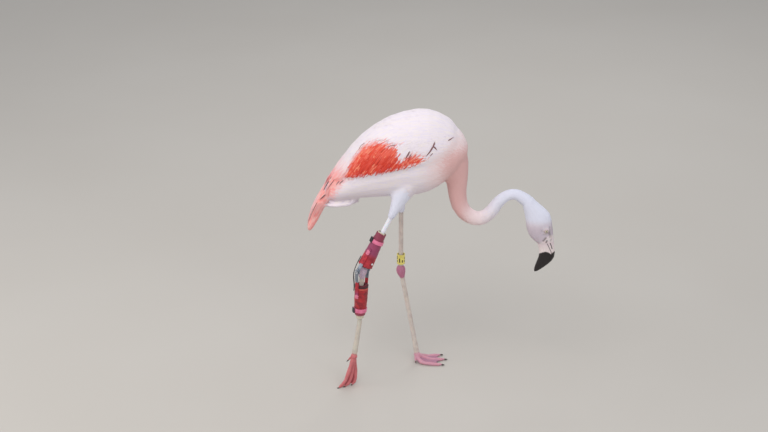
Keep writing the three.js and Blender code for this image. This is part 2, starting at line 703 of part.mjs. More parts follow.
function makeBrace() {
  const ankle = vec(LEGS.right.ankle);
  const axes = {
    upper: vec(CUFF_AIM).sub(ankle).normalize(),
    lower: vec(LEGS.right.shin.at(-1)).sub(ankle).normalize(),
  };
  const at = (axis, d, direction, r) =>
    ankle.clone().addScaledVector(axis, d).addScaledVector(direction, r);
  const grown = (name, by) =>
    shell(ankle, axes[name], CUFFS[name].rings.map(([d, r]) => [d, r + by]), () => 1);
  const pieces = {};

  for (const name of ["upper", "lower"]) {
    const [cuff, axis] = [CUFFS[name], axes[name]];
    const [near, far] = [cuff.rings[0], cuff.rings.at(-1)];
    const wall = shell(ankle, axis, cuff.rings, (r) => r - CUFF_WALL);
    pieces[`brace_cuff_${name}`] = [wall, FINISH.cuff];

    const inside = cuff.rings.map(([d, r]) => [d, r - CUFF_WALL - GAP]);
    inside[0] = [near[0] - LINING.lip, inside[0][1]];
    const end = far[0] + 0.5;
    inside.push([end, LINING.sleeveRadius], [end + cuff.sleeve, LINING.sleeveRadius]);
    const lining = shell(ankle, axis, inside, () => LINING.bore);
    pieces[`brace_lining_${name}`] = [lining, FINISH.lining];

    const edges = [-0.5, 0.5].map((k) => cuff.strap + k * STRAP.width);
    const band = edges.map((d) => [d, cuffRadius(cuff, d) + GAP + STRAP.thickness]);
    const strap = shell(ankle, axis, band, (r) => r - STRAP.thickness);
    pieces[`brace_strap_${name}`] = [strap, FINISH.strap];

    const facing = roundAxis(axis, BUCKLE.angle);
    const block = new THREE.BoxGeometry(BUCKLE.thickness * 2, BUCKLE.height, BUCKLE.width);
    const seat = at(axis, cuff.strap, facing, cuffRadius(cuff, cuff.strap) + STRAP.thickness);
    const clear = shell(
      ankle,
      axis,
      [-20, 20].map((k) => [
        cuff.strap + k,
        cuffRadius(cuff, cuff.strap + k) + STRAP.thickness + GAP * 2.5,
      ]),
      () => 1,
    );
    const buckle = place(block, frameAlong(seat, axis, facing)).subtract(clear);
    pieces[`brace_buckle_${name}`] = [mainBody(buckle), FINISH.buckle];
  }

  const hinge = roundAxis(axes.upper, BAR.angle).add(roundAxis(axes.lower, BAR.angle)).normalize();
  for (const [face, way] of [["outer", 1], ["inner", -1]]) {
    const normal = hinge.clone().multiplyScalar(way);
    ["upper", "lower"].forEach((name, layer) => {
      const [cuff, axis] = [CUFFS[name], axes[name]];
      const facing = roundAxis(axis, BAR.angle).multiplyScalar(way);
      const seat = BAR.offset + (layer + 0.5) * BAR.thickness + layer * GAP;
      const centre = at(axis, 0, normal, seat);
      const level = axis.clone().addScaledVector(normal, -axis.dot(normal)).normalize();
      const on = (d) => at(axis, d, facing, cuffRadius(cuff, d) + GAP + BAR.thickness / 2);
      const start = cuff.rings[0][0];
      const path = [centre, centre.clone().addScaledVector(level, 10), on(start + 3)];
      path.push(on(cuff.rivet), on(cuff.rivet + BAR.end - 3));
      const foot = centre.clone().addScaledVector(normal, -BAR.thickness / 2);
      let bar = strip(path, normal, BAR.width, BAR.thickness, 7);
      bar = bar.add(stud(foot, normal, PIVOT.radius, BAR.thickness));
      const head = at(axis, cuff.rivet, facing, cuffRadius(cuff, cuff.rivet) + GAP);
      const height = BAR.thickness + RIVET.height;
      bar = bar.add(stud(head, facing, RIVET.radius, height, RIVET.radius * 0.8));
      pieces[`brace_bar_${face}_${name}`] = [mainBody(bar), FINISH.steel];
    });
    const outside = BAR.offset + 2 * BAR.thickness + 2 * GAP;
    const cap = stud(at(normal, 0, normal, outside), normal, PIVOT.radius * 0.7, PIVOT.cap);
    pieces[`brace_pivot_${face}`] = [cap, FINISH.steel];
  }

  const front = roundAxis(axes.upper, STUD.angle);
  const foot = at(axes.upper, STUD.along, front, cuffRadius(CUFFS.upper, STUD.along) + GAP);
  pieces.brace_stud = [stud(foot, front, STUD.radius, 2, STUD.radius * 0.6), FINISH.steel];

  const rear = roundAxis(axes.lower, REAR_STRAP.angle);
  const holds = ["upper", "lower"].map((name) => {
    const [cuff, axis] = [CUFFS[name], axes[name]];
    const facing = roundAxis(axis, REAR_STRAP.angle);
    return [3, REAR_STRAP.reach].map((k) => {
      const d = cuff.rings[0][0] + k;
      return at(axis, d, facing, cuffRadius(cuff, d) + GAP + REAR_STRAP.thickness * 0.6);
    });
  });
  const bulge = at(axes.lower, 8, rear, REAR_STRAP.bulge);
  const path = [holds[0][1], holds[0][0], bulge, holds[1][0], holds[1][1]];
  let elastic = strip(path, rear, REAR_STRAP.width, REAR_STRAP.thickness, 14);
  for (const name of ["upper", "lower"]) elastic = elastic.subtract(grown(name, GAP));
  pieces.brace_rear_strap = [mainBody(elastic), FINISH.buckle];
  return pieces;
}

// ---------------------------------------------------------------- assembly

const flamingo = new THREE.Group();
const add = (name, solid, material) => flamingo.add(piece(name, solid, material));

const trunk = makeTrunk();
const bodyClearance = bodyForm(GAP);

const neckBase = neckLength(NECK_CUTS[0], NECK_CUTS[1]).subtract(bodyClearance);
add("neck_base", mainBody(neckBase), FINISH.neckPlumage);
for (let i = 1; i < NECK_NAMES.length; i++) {
  const gap = GAP / neckCurve.getLength();
  const length = neckLength(NECK_CUTS[i] + gap, NECK_CUTS[i + 1]);
  add(NECK_NAMES[i], length, i < 2 ? FINISH.neckPlumage : FINISH.plumage);
}

const eyes = Object.fromEntries(both.map((side) => [side, makeEye(side)]));
let head = profileForm(HEAD_SECTIONS, 0, 16, 10);
for (const side of both) head = head.subtract(makeEye(side, GAP));
add("head", mainBody(head), FINISH.plumage);
for (const side of both) add(`eye_${side}`, eyes[side], FINISH.eye);
const bills = makeBills();
add("bill_upper", bills.upper, FINISH.billDark);
add("bill_lower", bills.lower, FINISH.billPale);

add("trunk", trunk, FINISH.plumage);
const wingClearances = [];
for (const side of both) {
  const wing = makeWing(side);
  add(`wing_${side}`, wing, FINISH.wingPlumage);
  const tertials = makeTertials(side).subtract(bodyClearance);
  add(`tertials_${side}`, mainBody(tertials), FINISH.coralPlumage);
  wingClearances.push(makeTertials(side, GAP));
}
let tail = makeTail().subtract(bodyClearance);
for (const clearance of wingClearances) tail = tail.subtract(clearance);
add("tail", mainBody(tail), FINISH.plumage);

for (const side of both) {
  const leg = makeLeg(side);
  add(`thigh_${side}`, mainBody(leg.thigh.subtract(bodyClearance)), FINISH.plumage);
  add(`shank_${side}`, leg.shank, FINISH.legSkin);
  add(`ankle_${side}`, leg.ankle, FINISH.jointSkin);
  add(`tarsus_${side}`, leg.tarsus, FINISH.legSkin);
  const foot = makeFoot(side);
  add(`foot_${side}`, foot, FINISH.footSkin);
  add(`hind_toe_${side}`, makeHindToe(side, foot), FINISH.footSkin);
  for (const name of ["inner", "middle", "outer", "hind"])
    add(`claw_${side}_${name}`, makeClaw(side, name), FINISH.claw);
}

add("ring_left", makeRing(), FINISH.ring);

for (const [name, [solid, material]] of Object.entries(makeBrace())) add(name, solid, material);

// The object's own origin lies on the floor, under the middle of its bounding box.
const middle = new THREE.Box3().setFromObject(flamingo).getCenter(new THREE.Vector3());
flamingo.position.set(-middle.x, -middle.y, 0);

export default flamingo;
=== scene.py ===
# The looks of a life-size Chilean flamingo: one skin under a coat of modelled feathers, and its
# eyes, bill, claws, leg ring and hinged leg brace as pieces of their own.
import math

import bmesh
import bpy
import numpy as np
from mathutils import Matrix, Vector
from mathutils.bvhtree import BVHTree


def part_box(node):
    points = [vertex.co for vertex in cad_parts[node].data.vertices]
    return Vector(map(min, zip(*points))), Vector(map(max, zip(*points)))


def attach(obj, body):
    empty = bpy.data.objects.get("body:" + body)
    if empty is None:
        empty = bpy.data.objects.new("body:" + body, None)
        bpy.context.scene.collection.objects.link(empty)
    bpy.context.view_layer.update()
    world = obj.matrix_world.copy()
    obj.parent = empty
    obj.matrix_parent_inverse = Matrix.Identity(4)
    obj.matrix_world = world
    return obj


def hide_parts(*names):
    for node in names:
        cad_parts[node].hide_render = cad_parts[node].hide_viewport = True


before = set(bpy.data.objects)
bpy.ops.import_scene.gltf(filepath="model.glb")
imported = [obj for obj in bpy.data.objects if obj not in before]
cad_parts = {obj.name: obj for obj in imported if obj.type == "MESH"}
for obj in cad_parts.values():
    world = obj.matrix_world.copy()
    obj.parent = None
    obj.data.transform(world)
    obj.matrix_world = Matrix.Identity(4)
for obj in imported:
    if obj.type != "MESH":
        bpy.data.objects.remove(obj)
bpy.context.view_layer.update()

MM = 0.001
SIDES = ("left", "right")
SIGN = {"left": 1, "right": -1}  # which way each side lies on Y
TOES = ("inner", "middle", "outer", "hind")
LEG_PARTS = ("shank", "ankle", "tarsus")
FOOT_PARTS = ("foot", "hind_toe")


def on_side(flank, parts):
    return [f"{part}_{flank}" for part in parts]


def middle(node):
    low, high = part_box(node)
    return (low + high) / 2


# The bird's own measures run in millimetres forward, to its left and up. They start on the floor,
# in the plane that halves its body, at this distance behind its eyes.
EYES = (middle("eye_left") + middle("eye_right")) / 2
BEHIND_EYES = 432.5
START = Vector((EYES.x - BEHIND_EYES * MM, EYES.y, 0))


def own(points):
    """Points of the row frame in the bird's own measures."""
    return (np.asarray(points) - np.array(START)) / MM


def placed(forward, left, up):
    """A point of the bird's own measures in the row frame."""
    return START + Vector((forward, left, up)) * MM


# ---------------------------------------------------------------- numbers

def unit(vectors):
    return vectors / np.maximum(np.linalg.norm(vectors, axis=-1, keepdims=True), 1e-9)


def ramp(values, low, high):
    """0 below low, 1 above high and smooth between them; low may be the larger one."""
    share = np.clip((np.asarray(values, float) - low) / (high - low), 0, 1)
    return share * share * (3 - 2 * share)


def spread(values, edges, times):
    """Values of vertices, evened out with their neighbours a number of times."""
    values = np.asarray(values, float).copy()
    columns = values.reshape(len(values), -1)
    count = 1 + np.bincount(edges.ravel(), minlength=len(values))
    for _ in range(times):
        for c in range(columns.shape[1]):
            column = columns[:, c]
            total = column + np.bincount(edges[:, 0], column[edges[:, 1]], len(column))
            total += np.bincount(edges[:, 1], column[edges[:, 0]], len(column))
            columns[:, c] = total / count
    return columns.reshape(values.shape)


# ---------------------------------------------------------------- meshes

def add_object(name, mesh, material=None):
    made = bpy.data.objects.new(name, mesh)
    bpy.context.scene.collection.objects.link(made)
    if material:
        mesh.materials.clear()
        mesh.materials.append(material)
    return made


def drop(thing):
    bpy.data.objects.remove(thing)


def make_smooth(mesh):
    for face in mesh.polygons:
        face.use_smooth = True


def node_book(nodes, grow=0.0):
    """CAD nodes as one bmesh with shared corners, swollen by grow."""
    book = bmesh.new()
    for node in nodes:
        book.from_mesh(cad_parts[node].data)
    bmesh.ops.remove_doubles(book, verts=book.verts, dist=0.01 * MM)
    book.normal_update()
    for vert in book.verts:
        vert.co += vert.normal * grow
    return book


def finished(thing):
    """The mesh of an object with its modifiers worked out; the object itself goes."""
    graph = bpy.context.evaluated_depsgraph_get()
    mesh = bpy.data.meshes.new_from_object(thing.evaluated_get(graph))
    drop(thing)
    return mesh


def remeshed(book, voxel, smooth):
    """One even closed surface round all the bodies of a bmesh."""
    mesh = bpy.data.meshes.new("form")
    book.to_mesh(mesh)
    book.free()
    thing = add_object("form", mesh)
    even = thing.modifiers.new("even", "REMESH")
    even.mode, even.voxel_size = "VOXEL", voxel
    soft = thing.modifiers.new("soft", "SMOOTH")
    soft.factor, soft.iterations = 0.5, smooth
    return finished(thing)


def joined(first, *others):
    """The union of closed meshes as one."""
    thing = add_object("union", first)
    for other in others:
        tool = add_object("tool", other)
        cut = thing.modifiers.new("join", "BOOLEAN")
        cut.operation, cut.solver, cut.object = "UNION", "MANIFOLD", tool
        thing_mesh = finished(thing)
        drop(tool)
        thing = add_object("union", thing_mesh)
    mesh = thing.data
    drop(thing)
    return mesh


def read(data, name, width=1, kind=float):
    values = np.empty(len(data) * width, kind)
    data.foreach_get(name, values)
    return values.reshape(-1, width) if width > 1 else values


def surface_of(mesh):
    """The places of a mesh's vertices and the normals there."""
    return read(mesh.vertices, "co", 3), read(mesh.vertex_normals, "vector", 3)


def press(mesh, points, normals, depth):
    """Moves a mesh's vertices inwards, each by its own depth in millimetres."""
    points -= normals * (depth * MM)[:, None]
    mesh.vertices.foreach_set("co", points.ravel())


def store(mesh, name, values, domain="POINT"):
    """Numbers, vectors or pairs as a named attribute."""
    values = np.asarray(values, np.float32)
    width = values.shape[1] if values.ndim > 1 else 1
    kind, field = {1: ("FLOAT", "value"), 2: ("FLOAT2", "vector"), 3: ("FLOAT_VECTOR", "vector")}[width]
    mesh.attributes.new(name, kind, domain).data.foreach_set(field, values.ravel())


def rings(node, start):
    """Middles and mean radii of a lofted node's rings, found ring by ring from the end near start."""
    book = node_book([node])
    poles = [v for v in book.verts if len(v.link_edges) > 7]
    layer = {min(poles, key=lambda v: (v.co - start).length)}
    seen, found = set(layer), []
    while layer:
        corners = np.array([v.co for v in layer])
        centre = corners.mean(0)
        found.append((*centre, np.linalg.norm(corners - centre, axis=1).mean()))
        layer = {e.other_vert(v) for v in layer for e in v.link_edges} - seen
        seen |= layer
    book.free()
    return np.array(found)


class Line:
    """A centre line through points, with a radius at each."""

    def __init__(self, rows):
        self.points, self.radii = rows[:, :3], rows[:, 3]
        steps = np.linalg.norm(np.diff(self.points, axis=0), axis=1)
        self.along = np.concatenate([[0], np.cumsum(steps)])

    def at(self, share, field=None):
        values = self.points if field is None else field
        place = np.asarray(share) * self.along[-1]
        columns = [np.interp(place, self.along, values[:, c]) for c in range(values.shape[1])]
        return np.stack(columns, -1)

    def nearest(self, points, count=160):
        """Each point's share along the line, its offset from it and the line's direction there."""
        shares = np.linspace(0, 1, count)
        places = self.at(shares)
        away = np.full(len(points), np.inf)
        best = np.zeros(len(points), int)
        for i, place in enumerate(places):
            reach = ((points - place) ** 2).sum(1)
            closer = reach < away
            away[closer], best[closer] = reach[closer], i
        ways = unit(np.gradient(places, axis=0))
        step = ((points - places[best]) * ways[best]).sum(1) / self.along[-1]
        share = np.clip(shares[best] + step, 0, 1)
        return share, points - self.at(share), ways[best]


# ---------------------------------------------------------------- node trees

class Value:
    """A number carried by a socket. Arithmetic on it adds Math nodes to its tree."""

    def __init__(self, graph, socket):
        self.graph, self.socket = graph, socket

    def math(self, operation, first, second=0.0, third=0.0):
        return self.graph.out("ShaderNodeMath", {0: first, 1: second, 2: third}, operation=operation)

    def __add__(self, other):
        return self.math("ADD", self, other)

    def __sub__(self, other):
        return self.math("SUBTRACT", self, other)

    def __rsub__(self, other):
        return self.math("SUBTRACT", other, self)

    def __mul__(self, other):
        return self.math("MULTIPLY", self, other)

    def __truediv__(self, other):
        return self.math("DIVIDE", self, other)

    def __rtruediv__(self, other):
        return self.math("DIVIDE", other, self)

    def __pow__(self, other):
        return self.math("POWER", self, other)

    __radd__, __rmul__ = __add__, __mul__

    def call(self, operation, second=0.0):
        return self.math(operation, self, second)

    def ramp(self, low, high):
        """0 below low, 1 above high and smooth between them."""
        values = {0: self, 1: low, 2: high}
        return self.graph.out("ShaderNodeMapRange", values, interpolation_type="SMOOTHSTEP")


class Graph:
    """Adds nodes to a tree: a node's settings first, then the values or links of its sockets."""

    def __init__(self, tree):
        self.tree = tree

    def node(self, kind, values=None, **settings):
        made = self.tree.nodes.new(kind)
        for name, value in settings.items():
            setattr(made, name, value)
        for slot, value in (values or {}).items():
            if isinstance(value, Value):
                value = value.socket
            if isinstance(value, bpy.types.NodeSocket):
                self.tree.links.new(value, made.inputs[slot])
            else:
                made.inputs[slot].default_value = value
        return made

    def out(self, kind, values=None, index=0, **settings):
        return Value(self, self.node(kind, values, **settings).outputs[index])

    def attribute(self, name):
        return self.out("ShaderNodeAttribute", None, 2, attribute_name=name)

    def mix(self, first, second, factor):
        values = {0: factor, 6: first, 7: second}
        return self.out("ShaderNodeMix", values, 2, data_type="RGBA")

    def noise(self, scale, detail=2.0, vector=None, stretch=None):
        place = vector or self.out("ShaderNodeTexCoord", None, 3)
        if stretch:
            place = self.out("ShaderNodeVectorMath", {0: place, 1: stretch}, operation="MULTIPLY")
        return self.out("ShaderNodeTexNoise", {0: place, 2: scale, 3: detail})


def colour(red, green, blue):
    """A colour of 0 to 255 screen values as the shader's own light values."""
    shares = (part / 255 for part in (red, green, blue))
    light = [s / 12.92 if s <= 0.04045 else ((s + 0.055) / 1.055) ** 2.4 for s in shares]
    return (*light, 1.0)


def finish(name, **sockets):
    """A new material with its graph and its shader, whose sockets are set by name."""
    made = bpy.data.materials.new(name)
    made.use_nodes = True
    shader = made.node_tree.nodes["Principled BSDF"]
    for socket, value in sockets.items():
        shader.inputs[socket.replace("_", " ")].default_value = value
    return made, Graph(made.node_tree), shader


def feed(graph, shader, height=None, relief=0.0, **links):
    """Links values to the shader's sockets, and a height in millimetres to its normal."""
    for socket, value in links.items():
        graph.tree.links.new(value.socket, shader.inputs[socket.replace("_", " ")])
    if height:
        bump = graph.out("ShaderNodeBump", {0: 1.0, 1: relief * MM, 3: height})
        graph.tree.links.new(bump.socket, shader.inputs["Normal"])


# ---------------------------------------------------------------- materials

WHITE, CREAM, LILAC = colour(244, 233, 240), colour(246, 235, 234), colour(238, 228, 240)
COOL = colour(238, 238, 252)
PINK, DEEP_PINK = colour(246, 222, 222), colour(232, 184, 180)
# The darkest colour is the black of dark feather edges, and also painted shade in the coat's gaps, under
# the red patch and in the face's streaks.
INK_AND_SHADE, SHADE_RED = colour(58, 26, 36), colour(168, 44, 36)
RED, FLAME = colour(208, 44, 28), colour(234, 82, 60)
ORANGE, PALE_ORANGE = colour(244, 118, 98), colour(248, 158, 124)
CORAL, PALE_CORAL = colour(255, 158, 152), colour(255, 208, 200)
# The lower face's own colour, which the lower flank also takes as painted shade.
GREY_FACE_AND_BELLY_SHADE, FACE_SKIN = colour(216, 202, 212), colour(226, 210, 214)
MARKS = ("red", "blaze", "coral", "pink", "cool", "grey", "dark")


def feathering(graph):
    """The bird's own markings, with painted shade among them, which the skin and every coat piece share."""
    red, blaze, coral, pink, cool, grey, dark = (graph.attribute(name) for name in MARKS)
    tone, along = graph.attribute("tone"), graph.attribute("along")
    white = graph.mix(WHITE, CREAM, tone.ramp(0.5, 1.0))
    white = graph.mix(white, LILAC, tone.ramp(0.4, 0.0) * 0.8)
    white = graph.mix(white, COOL, cool)
    # Deeper pink where the pink mark is high: the neck base's and breast's real pink, partly painted shade
    # there, and painted shade on the neck's underside.
    blush_and_shade = graph.mix(PINK, DEEP_PINK, pink.ramp(0.55, 1.0))
    base = graph.mix(white, blush_and_shade, pink.ramp(0.0, 0.6))
    # The lower face's own colour, and painted shade on the lower flank.
    base = graph.mix(base, GREY_FACE_AND_BELLY_SHADE, grey)
    base = graph.mix(base, graph.mix(CORAL, PALE_CORAL, tone.ramp(0.45, 1.1)), coral)
    flame = graph.mix(graph.mix(FLAME, ORANGE, tone.ramp(0.2, 0.8)), graph.mix(RED, FLAME, tone), blaze)
    flame = graph.mix(flame, SHADE_RED, tone.ramp(0.05, 0.0) * 0.5)
    base = graph.mix(base, graph.mix(flame, PALE_ORANGE, tone.ramp(0.88, 0.97) * 0.75), red)
    # Dark: black feather edges, and painted shade in the coat's gaps and on the face.
    return graph.mix(base, INK_AND_SHADE, dark), along


def plumage():
    made, graph, shader = finish("plumage", Roughness=0.8, Specular_IOR_Level=0.25, Sheen_Weight=0.15)
    base, along = feathering(graph)
    across = graph.attribute("across")
    side = across.call("ABSOLUTE")
    barbs = ((along * 30 - side * 9) * 6.283).call("SINE")
    shaft = 1 - side.ramp(0.02, 0.1)
    base = graph.mix(base, (1, 1, 1, 1), shaft * along.ramp(0.9, 0.2) * 0.12)
    # Painted shade: each blade a little darker towards its root, where the blades over it shade it.
    root = graph.mix((0.95, 0.93, 0.94, 1), (1, 1, 1, 1), along.ramp(0.0, 0.5))
    base = graph.out("ShaderNodeMix", {0: 1.0, 6: base, 7: root}, 2, data_type="RGBA",
                     blend_type="MULTIPLY")
    feed(graph, shader, height=barbs * 0.3 + shaft, relief=0.08, Base_Color=base)
    return made


def skin_finish():
    made, graph, shader = finish("skin", Roughness=0.5, Subsurface_Weight=0.08, Subsurface_Scale=0.004)
    base, _ = feathering(graph)
    dark = graph.attribute("dark")
    names = ("leg", "joint", "foot", "web", "face", "near", "white", "lid", "rows", "plated")
    leg, joint, foot, web, face, near, white, lid, rows, plated = (graph.attribute(n) for n in names)
    plates = (rows.call("FRACT") - 0.5).call("ABSOLUTE").ramp(0.5, 0.34)
    fine = graph.noise(900.0, 3.0)
    patches = graph.noise(60.0, 3.0)
    blotch = patches.ramp(0.35, 0.7)
    shin = graph.mix(graph.mix(colour(218, 206, 196), colour(200, 186, 178), blotch),
                     graph.mix(colour(210, 200, 186), colour(194, 182, 170), blotch), near)
    bare = graph.mix(shin, colour(238, 238, 246), white)
    bare = graph.mix(bare, graph.mix(colour(188, 116, 144), colour(204, 192, 206), near * 0.75), joint)
    toes = graph.mix(graph.mix(colour(228, 170, 184), colour(208, 142, 162), patches),
                     graph.mix(colour(222, 130, 132), colour(198, 98, 102), patches), near)
    bare = graph.mix(bare, toes, foot)
    bare = graph.mix(bare, graph.mix(colour(184, 130, 154), colour(164, 64, 72), near), web * foot)
    bare = graph.mix(bare, graph.mix(FACE_SKIN, colour(240, 226, 224), patches), face)
    bare = graph.mix(bare, colour(186, 164, 178), lid * (0.3 + 0.7 * patches))
    # Painted shade: the face's dark streaks.
    bare = graph.mix(bare, INK_AND_SHADE, dark * face)
    bare = graph.mix(bare, colour(120, 92, 92), (1 - plates) * plated * 0.3)
    base = graph.mix(base, bare, leg.call("MAXIMUM", face))
    scales = graph.out("ShaderNodeTexVoronoi", {2: 480.0}, feature="DISTANCE_TO_EDGE").ramp(0.0, 0.14)
    scaly = foot * 0.6 + leg * 0.25 + face * 0.3
    grain = scales * scaly * (1 - plated) + plates * plated * 1.4 + fine * 0.3
    feed(graph, shader, height=grain, relief=0.22, Base_Color=base, Roughness=0.42 + 0.25 * patches)
    return made


# ---------------------------------------------------------------- skin

FLESH = ["trunk", "tail", "neck_base", "neck_lower", "neck_middle", "neck_upper", "head"]
for flank in SIDES:
    FLESH += on_side(flank, ("wing", "tertials", "thigh"))
FEATHERED = len(FLESH)
for flank in SIDES:
    FLESH += on_side(flank, LEG_PARTS + FOOT_PARTS)

# Depth of the coat over the skin and length of the feathers on it, in millimetres.
COAT = {
    "trunk": (2.8, 32),
    "wing": (2.8, 34),
    "tertials": (1.8, 36),
    "tail": (1.2, 30),
    "thigh": (1.3, 10),
    "neck_base": (2.0, 15),
    "neck_lower": (1.3, 10),
    "neck_middle": (1.1, 8.5),
    "neck_upper": (1.0, 7.5),
    "head": (0.8, 5.5),
}


def coat_of(node):
    return COAT.get(node, COAT.get(node.rsplit("_", 1)[0], (0, 3)))


NECK = Line(np.concatenate([
    rings("neck_upper", middle("head")),
    rings("neck_middle", middle("neck_upper")),
    rings("neck_lower", middle("neck_middle")),
    rings("neck_base", middle("neck_lower"))[:6],
]))
CROWN, BREAST = Vector(NECK.points[0]), Vector(NECK.points[-1])
BILL_ROOT = (middle("bill_upper") + middle("bill_lower")) / 2
BILL_ROOT.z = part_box("bill_upper")[1].z
STERN = placed(-150, 0, 520)
THIGHS, LEGS, PLUMES, MEETINGS = {}, {}, {}, {}
for flank in SIDES:
    knee = middle(f"shank_{flank}")
    THIGHS[flank] = Line(rings(f"thigh_{flank}", knee)[:6][::-1])
    stretches = [
        rings(f"shank_{flank}", middle(f"thigh_{flank}")),
        rings(f"ankle_{flank}", knee),
        rings(f"tarsus_{flank}", middle(f"ankle_{flank}")),
    ]
    LEGS[flank] = Line(np.concatenate(stretches))
    MEETINGS[flank] = [(stretch[-1, :3], stretch[-2, 3]) for stretch in stretches]
    PLUMES[flank] = Line(rings(f"tertials_{flank}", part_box(f"tertials_{flank}")[0])[::-1])


def ball(centre, radius, book=None):
    book = book or bmesh.new()
    bmesh.ops.create_icosphere(book, subdivisions=3, radius=radius, matrix=Matrix.Translation(centre))
    return book


LID = {"radius": 9.3, "opening": 5.0, "thickness": 1.5}
EYE_WAY = {flank: Vector((0.1, SIGN[flank], -0.04)) for flank in SIDES}  # which way each eye looks


def lids(book):
    """Adds a lid round each eye: a ball's outer part with a round opening for the eye."""
    for flank in SIDES:
        eye = middle(f"eye_{flank}")
        turn = EYE_WAY[flank].to_track_quat("Z", "Y").to_matrix()
        outer, inner = LID["radius"] * MM, (LID["radius"] - LID["thickness"]) * MM
        edge = math.asin(LID["opening"] / LID["radius"])
        places = []
        for radius, angles in ((outer, np.linspace(1.9, edge, 14)), (inner, np.linspace(edge, 1.9, 14))):
            places += [(radius * math.sin(a), radius * math.cos(a)) for a in angles]
        verts, steps = [], 40
        for k in range(steps):
            a = 2 * math.pi * k / steps
            ring = [Vector((r * math.cos(a), r * math.sin(a), z)) for r, z in places]
            verts.append([book.verts.new(eye + turn @ corner) for corner in ring])
        for k in range(steps):
            near, far = verts[k], verts[(k + 1) % steps]
            for i in range(len(places)):
                j = (i + 1) % len(places)
                book.faces.new((near[i], far[i], far[j], near[j]))
    return book


def skin_form():
    """The bird's whole outline as one closed mesh, before the coat's depth is taken off."""
    feathered = [node for node in FLESH[:FEATHERED] if node != "head"]
    body = remeshed(node_book(feathered, 0.3 * MM), 3 * MM, 4)
    head = lids(node_book(["head"], 0.1 * MM))
    ball(CROWN, NECK.radii[1] * 0.9, head)
    form = joined(body, remeshed(head, 0.85 * MM, 5))
    for flank in SIDES:
        leg = node_book(on_side(flank, LEG_PARTS + FOOT_PARTS), 0.25 * MM)
        line = LEGS[flank]
        up = Vector(line.points[0]) + Vector(line.points[0] - line.points[2]).normalized() * 4 * MM
        ball(up, line.radii[1] * 0.95, leg)
        for centre, radius in MEETINGS[flank]:
            ball(Vector(centre), radius * 0.98, leg)
        form = joined(form, remeshed(leg, 0.9 * MM, 6))
    return form


def nearest_nodes(points):
    """The flesh node, as its place in FLESH, whose surface is nearest to each point."""
    corners, faces, owners = [], [], []
    for index, node in enumerate(FLESH):
        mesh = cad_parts[node].data
        mesh.calc_loop_triangles()
        base = len(corners)
        corners += [vert.co.copy() for vert in mesh.vertices]
        faces += [[base + corner for corner in face.vertices] for face in mesh.loop_triangles]
        owners += [index] * len(mesh.loop_triangles)
    tree = BVHTree.FromPolygons(corners, faces)
    return np.array([owners[tree.find_nearest(point)[2]] for point in points])


def tangent(ways, normals):
    return unit(ways - normals * (ways * normals).sum(1, keepdims=True))


# Edges of the red patch of wing coverts and of the face, seen from the side: forward, up.
RED_TOP = ((-106, 596), (-92, 619), (-83, 640), (-65, 665), (-44, 686), (-23, 695), (0, 697), (21, 691),
           (38, 690), (43, 657), (50, 655), (66, 672), (88, 673), (104, 668), (114, 651))
RED_BACK, RED_FRONT = RED_TOP[:9], RED_TOP[9:]  # behind the notch in its upper edge, and before it
RED_FOOT = ((-106, 596), (-62, 608), (-21, 619), (16, 627), (62, 640), (114, 652))
CORAL_EDGE = ((-150, 500), (-132, 532), (-115, 565), (-102, 589), (-92, 619), (-80, 640))
WING_FRONT = ((165, 55, 688), (128, 74, 648))  # where the wing's front edge runs on into the breast
# Where the nape and the breast are filled out: place, reach, how much less of it sideways, rise.
SWELLS = (((384, 0, 511), 13, 1.0, 4.6), ((201, 0, 693), 22, 0.35, 5.8), ((216, 0, 655), 27, 0.35, 6.0))
FACE_EDGE = ((415, 377), (430, 400), (439, 406), (451, 405))
# Painted shade on the face, as dark streaks in side view: from, to, half width, strength.
FACE_SHADES = (
    ((425, 393), (432, 402), 2.2, 0.8),
    ((433, 388), (435, 393), 2.2, 0.8),
    ((421, 424), (441, 415), 2.8, 0.22),
    ((441, 432), (442, 412), 2.2, 0.24),
    ((442, 410), (442.5, 403), 2.2, 0.34),
    ((445, 392), (447, 396), 2.2, 0.4),
    ((447, 402), (445, 411), 2.0, 0.28),
    ((425, 413), (432, 414), 2.6, 0.22),
    ((439, 414), (442, 421), 2.6, 0.22),
)
DOWN = np.array([-0.25, 0, -1.0])


def between(curve, x):
    return np.interp(x, *np.array(curve, float).T)


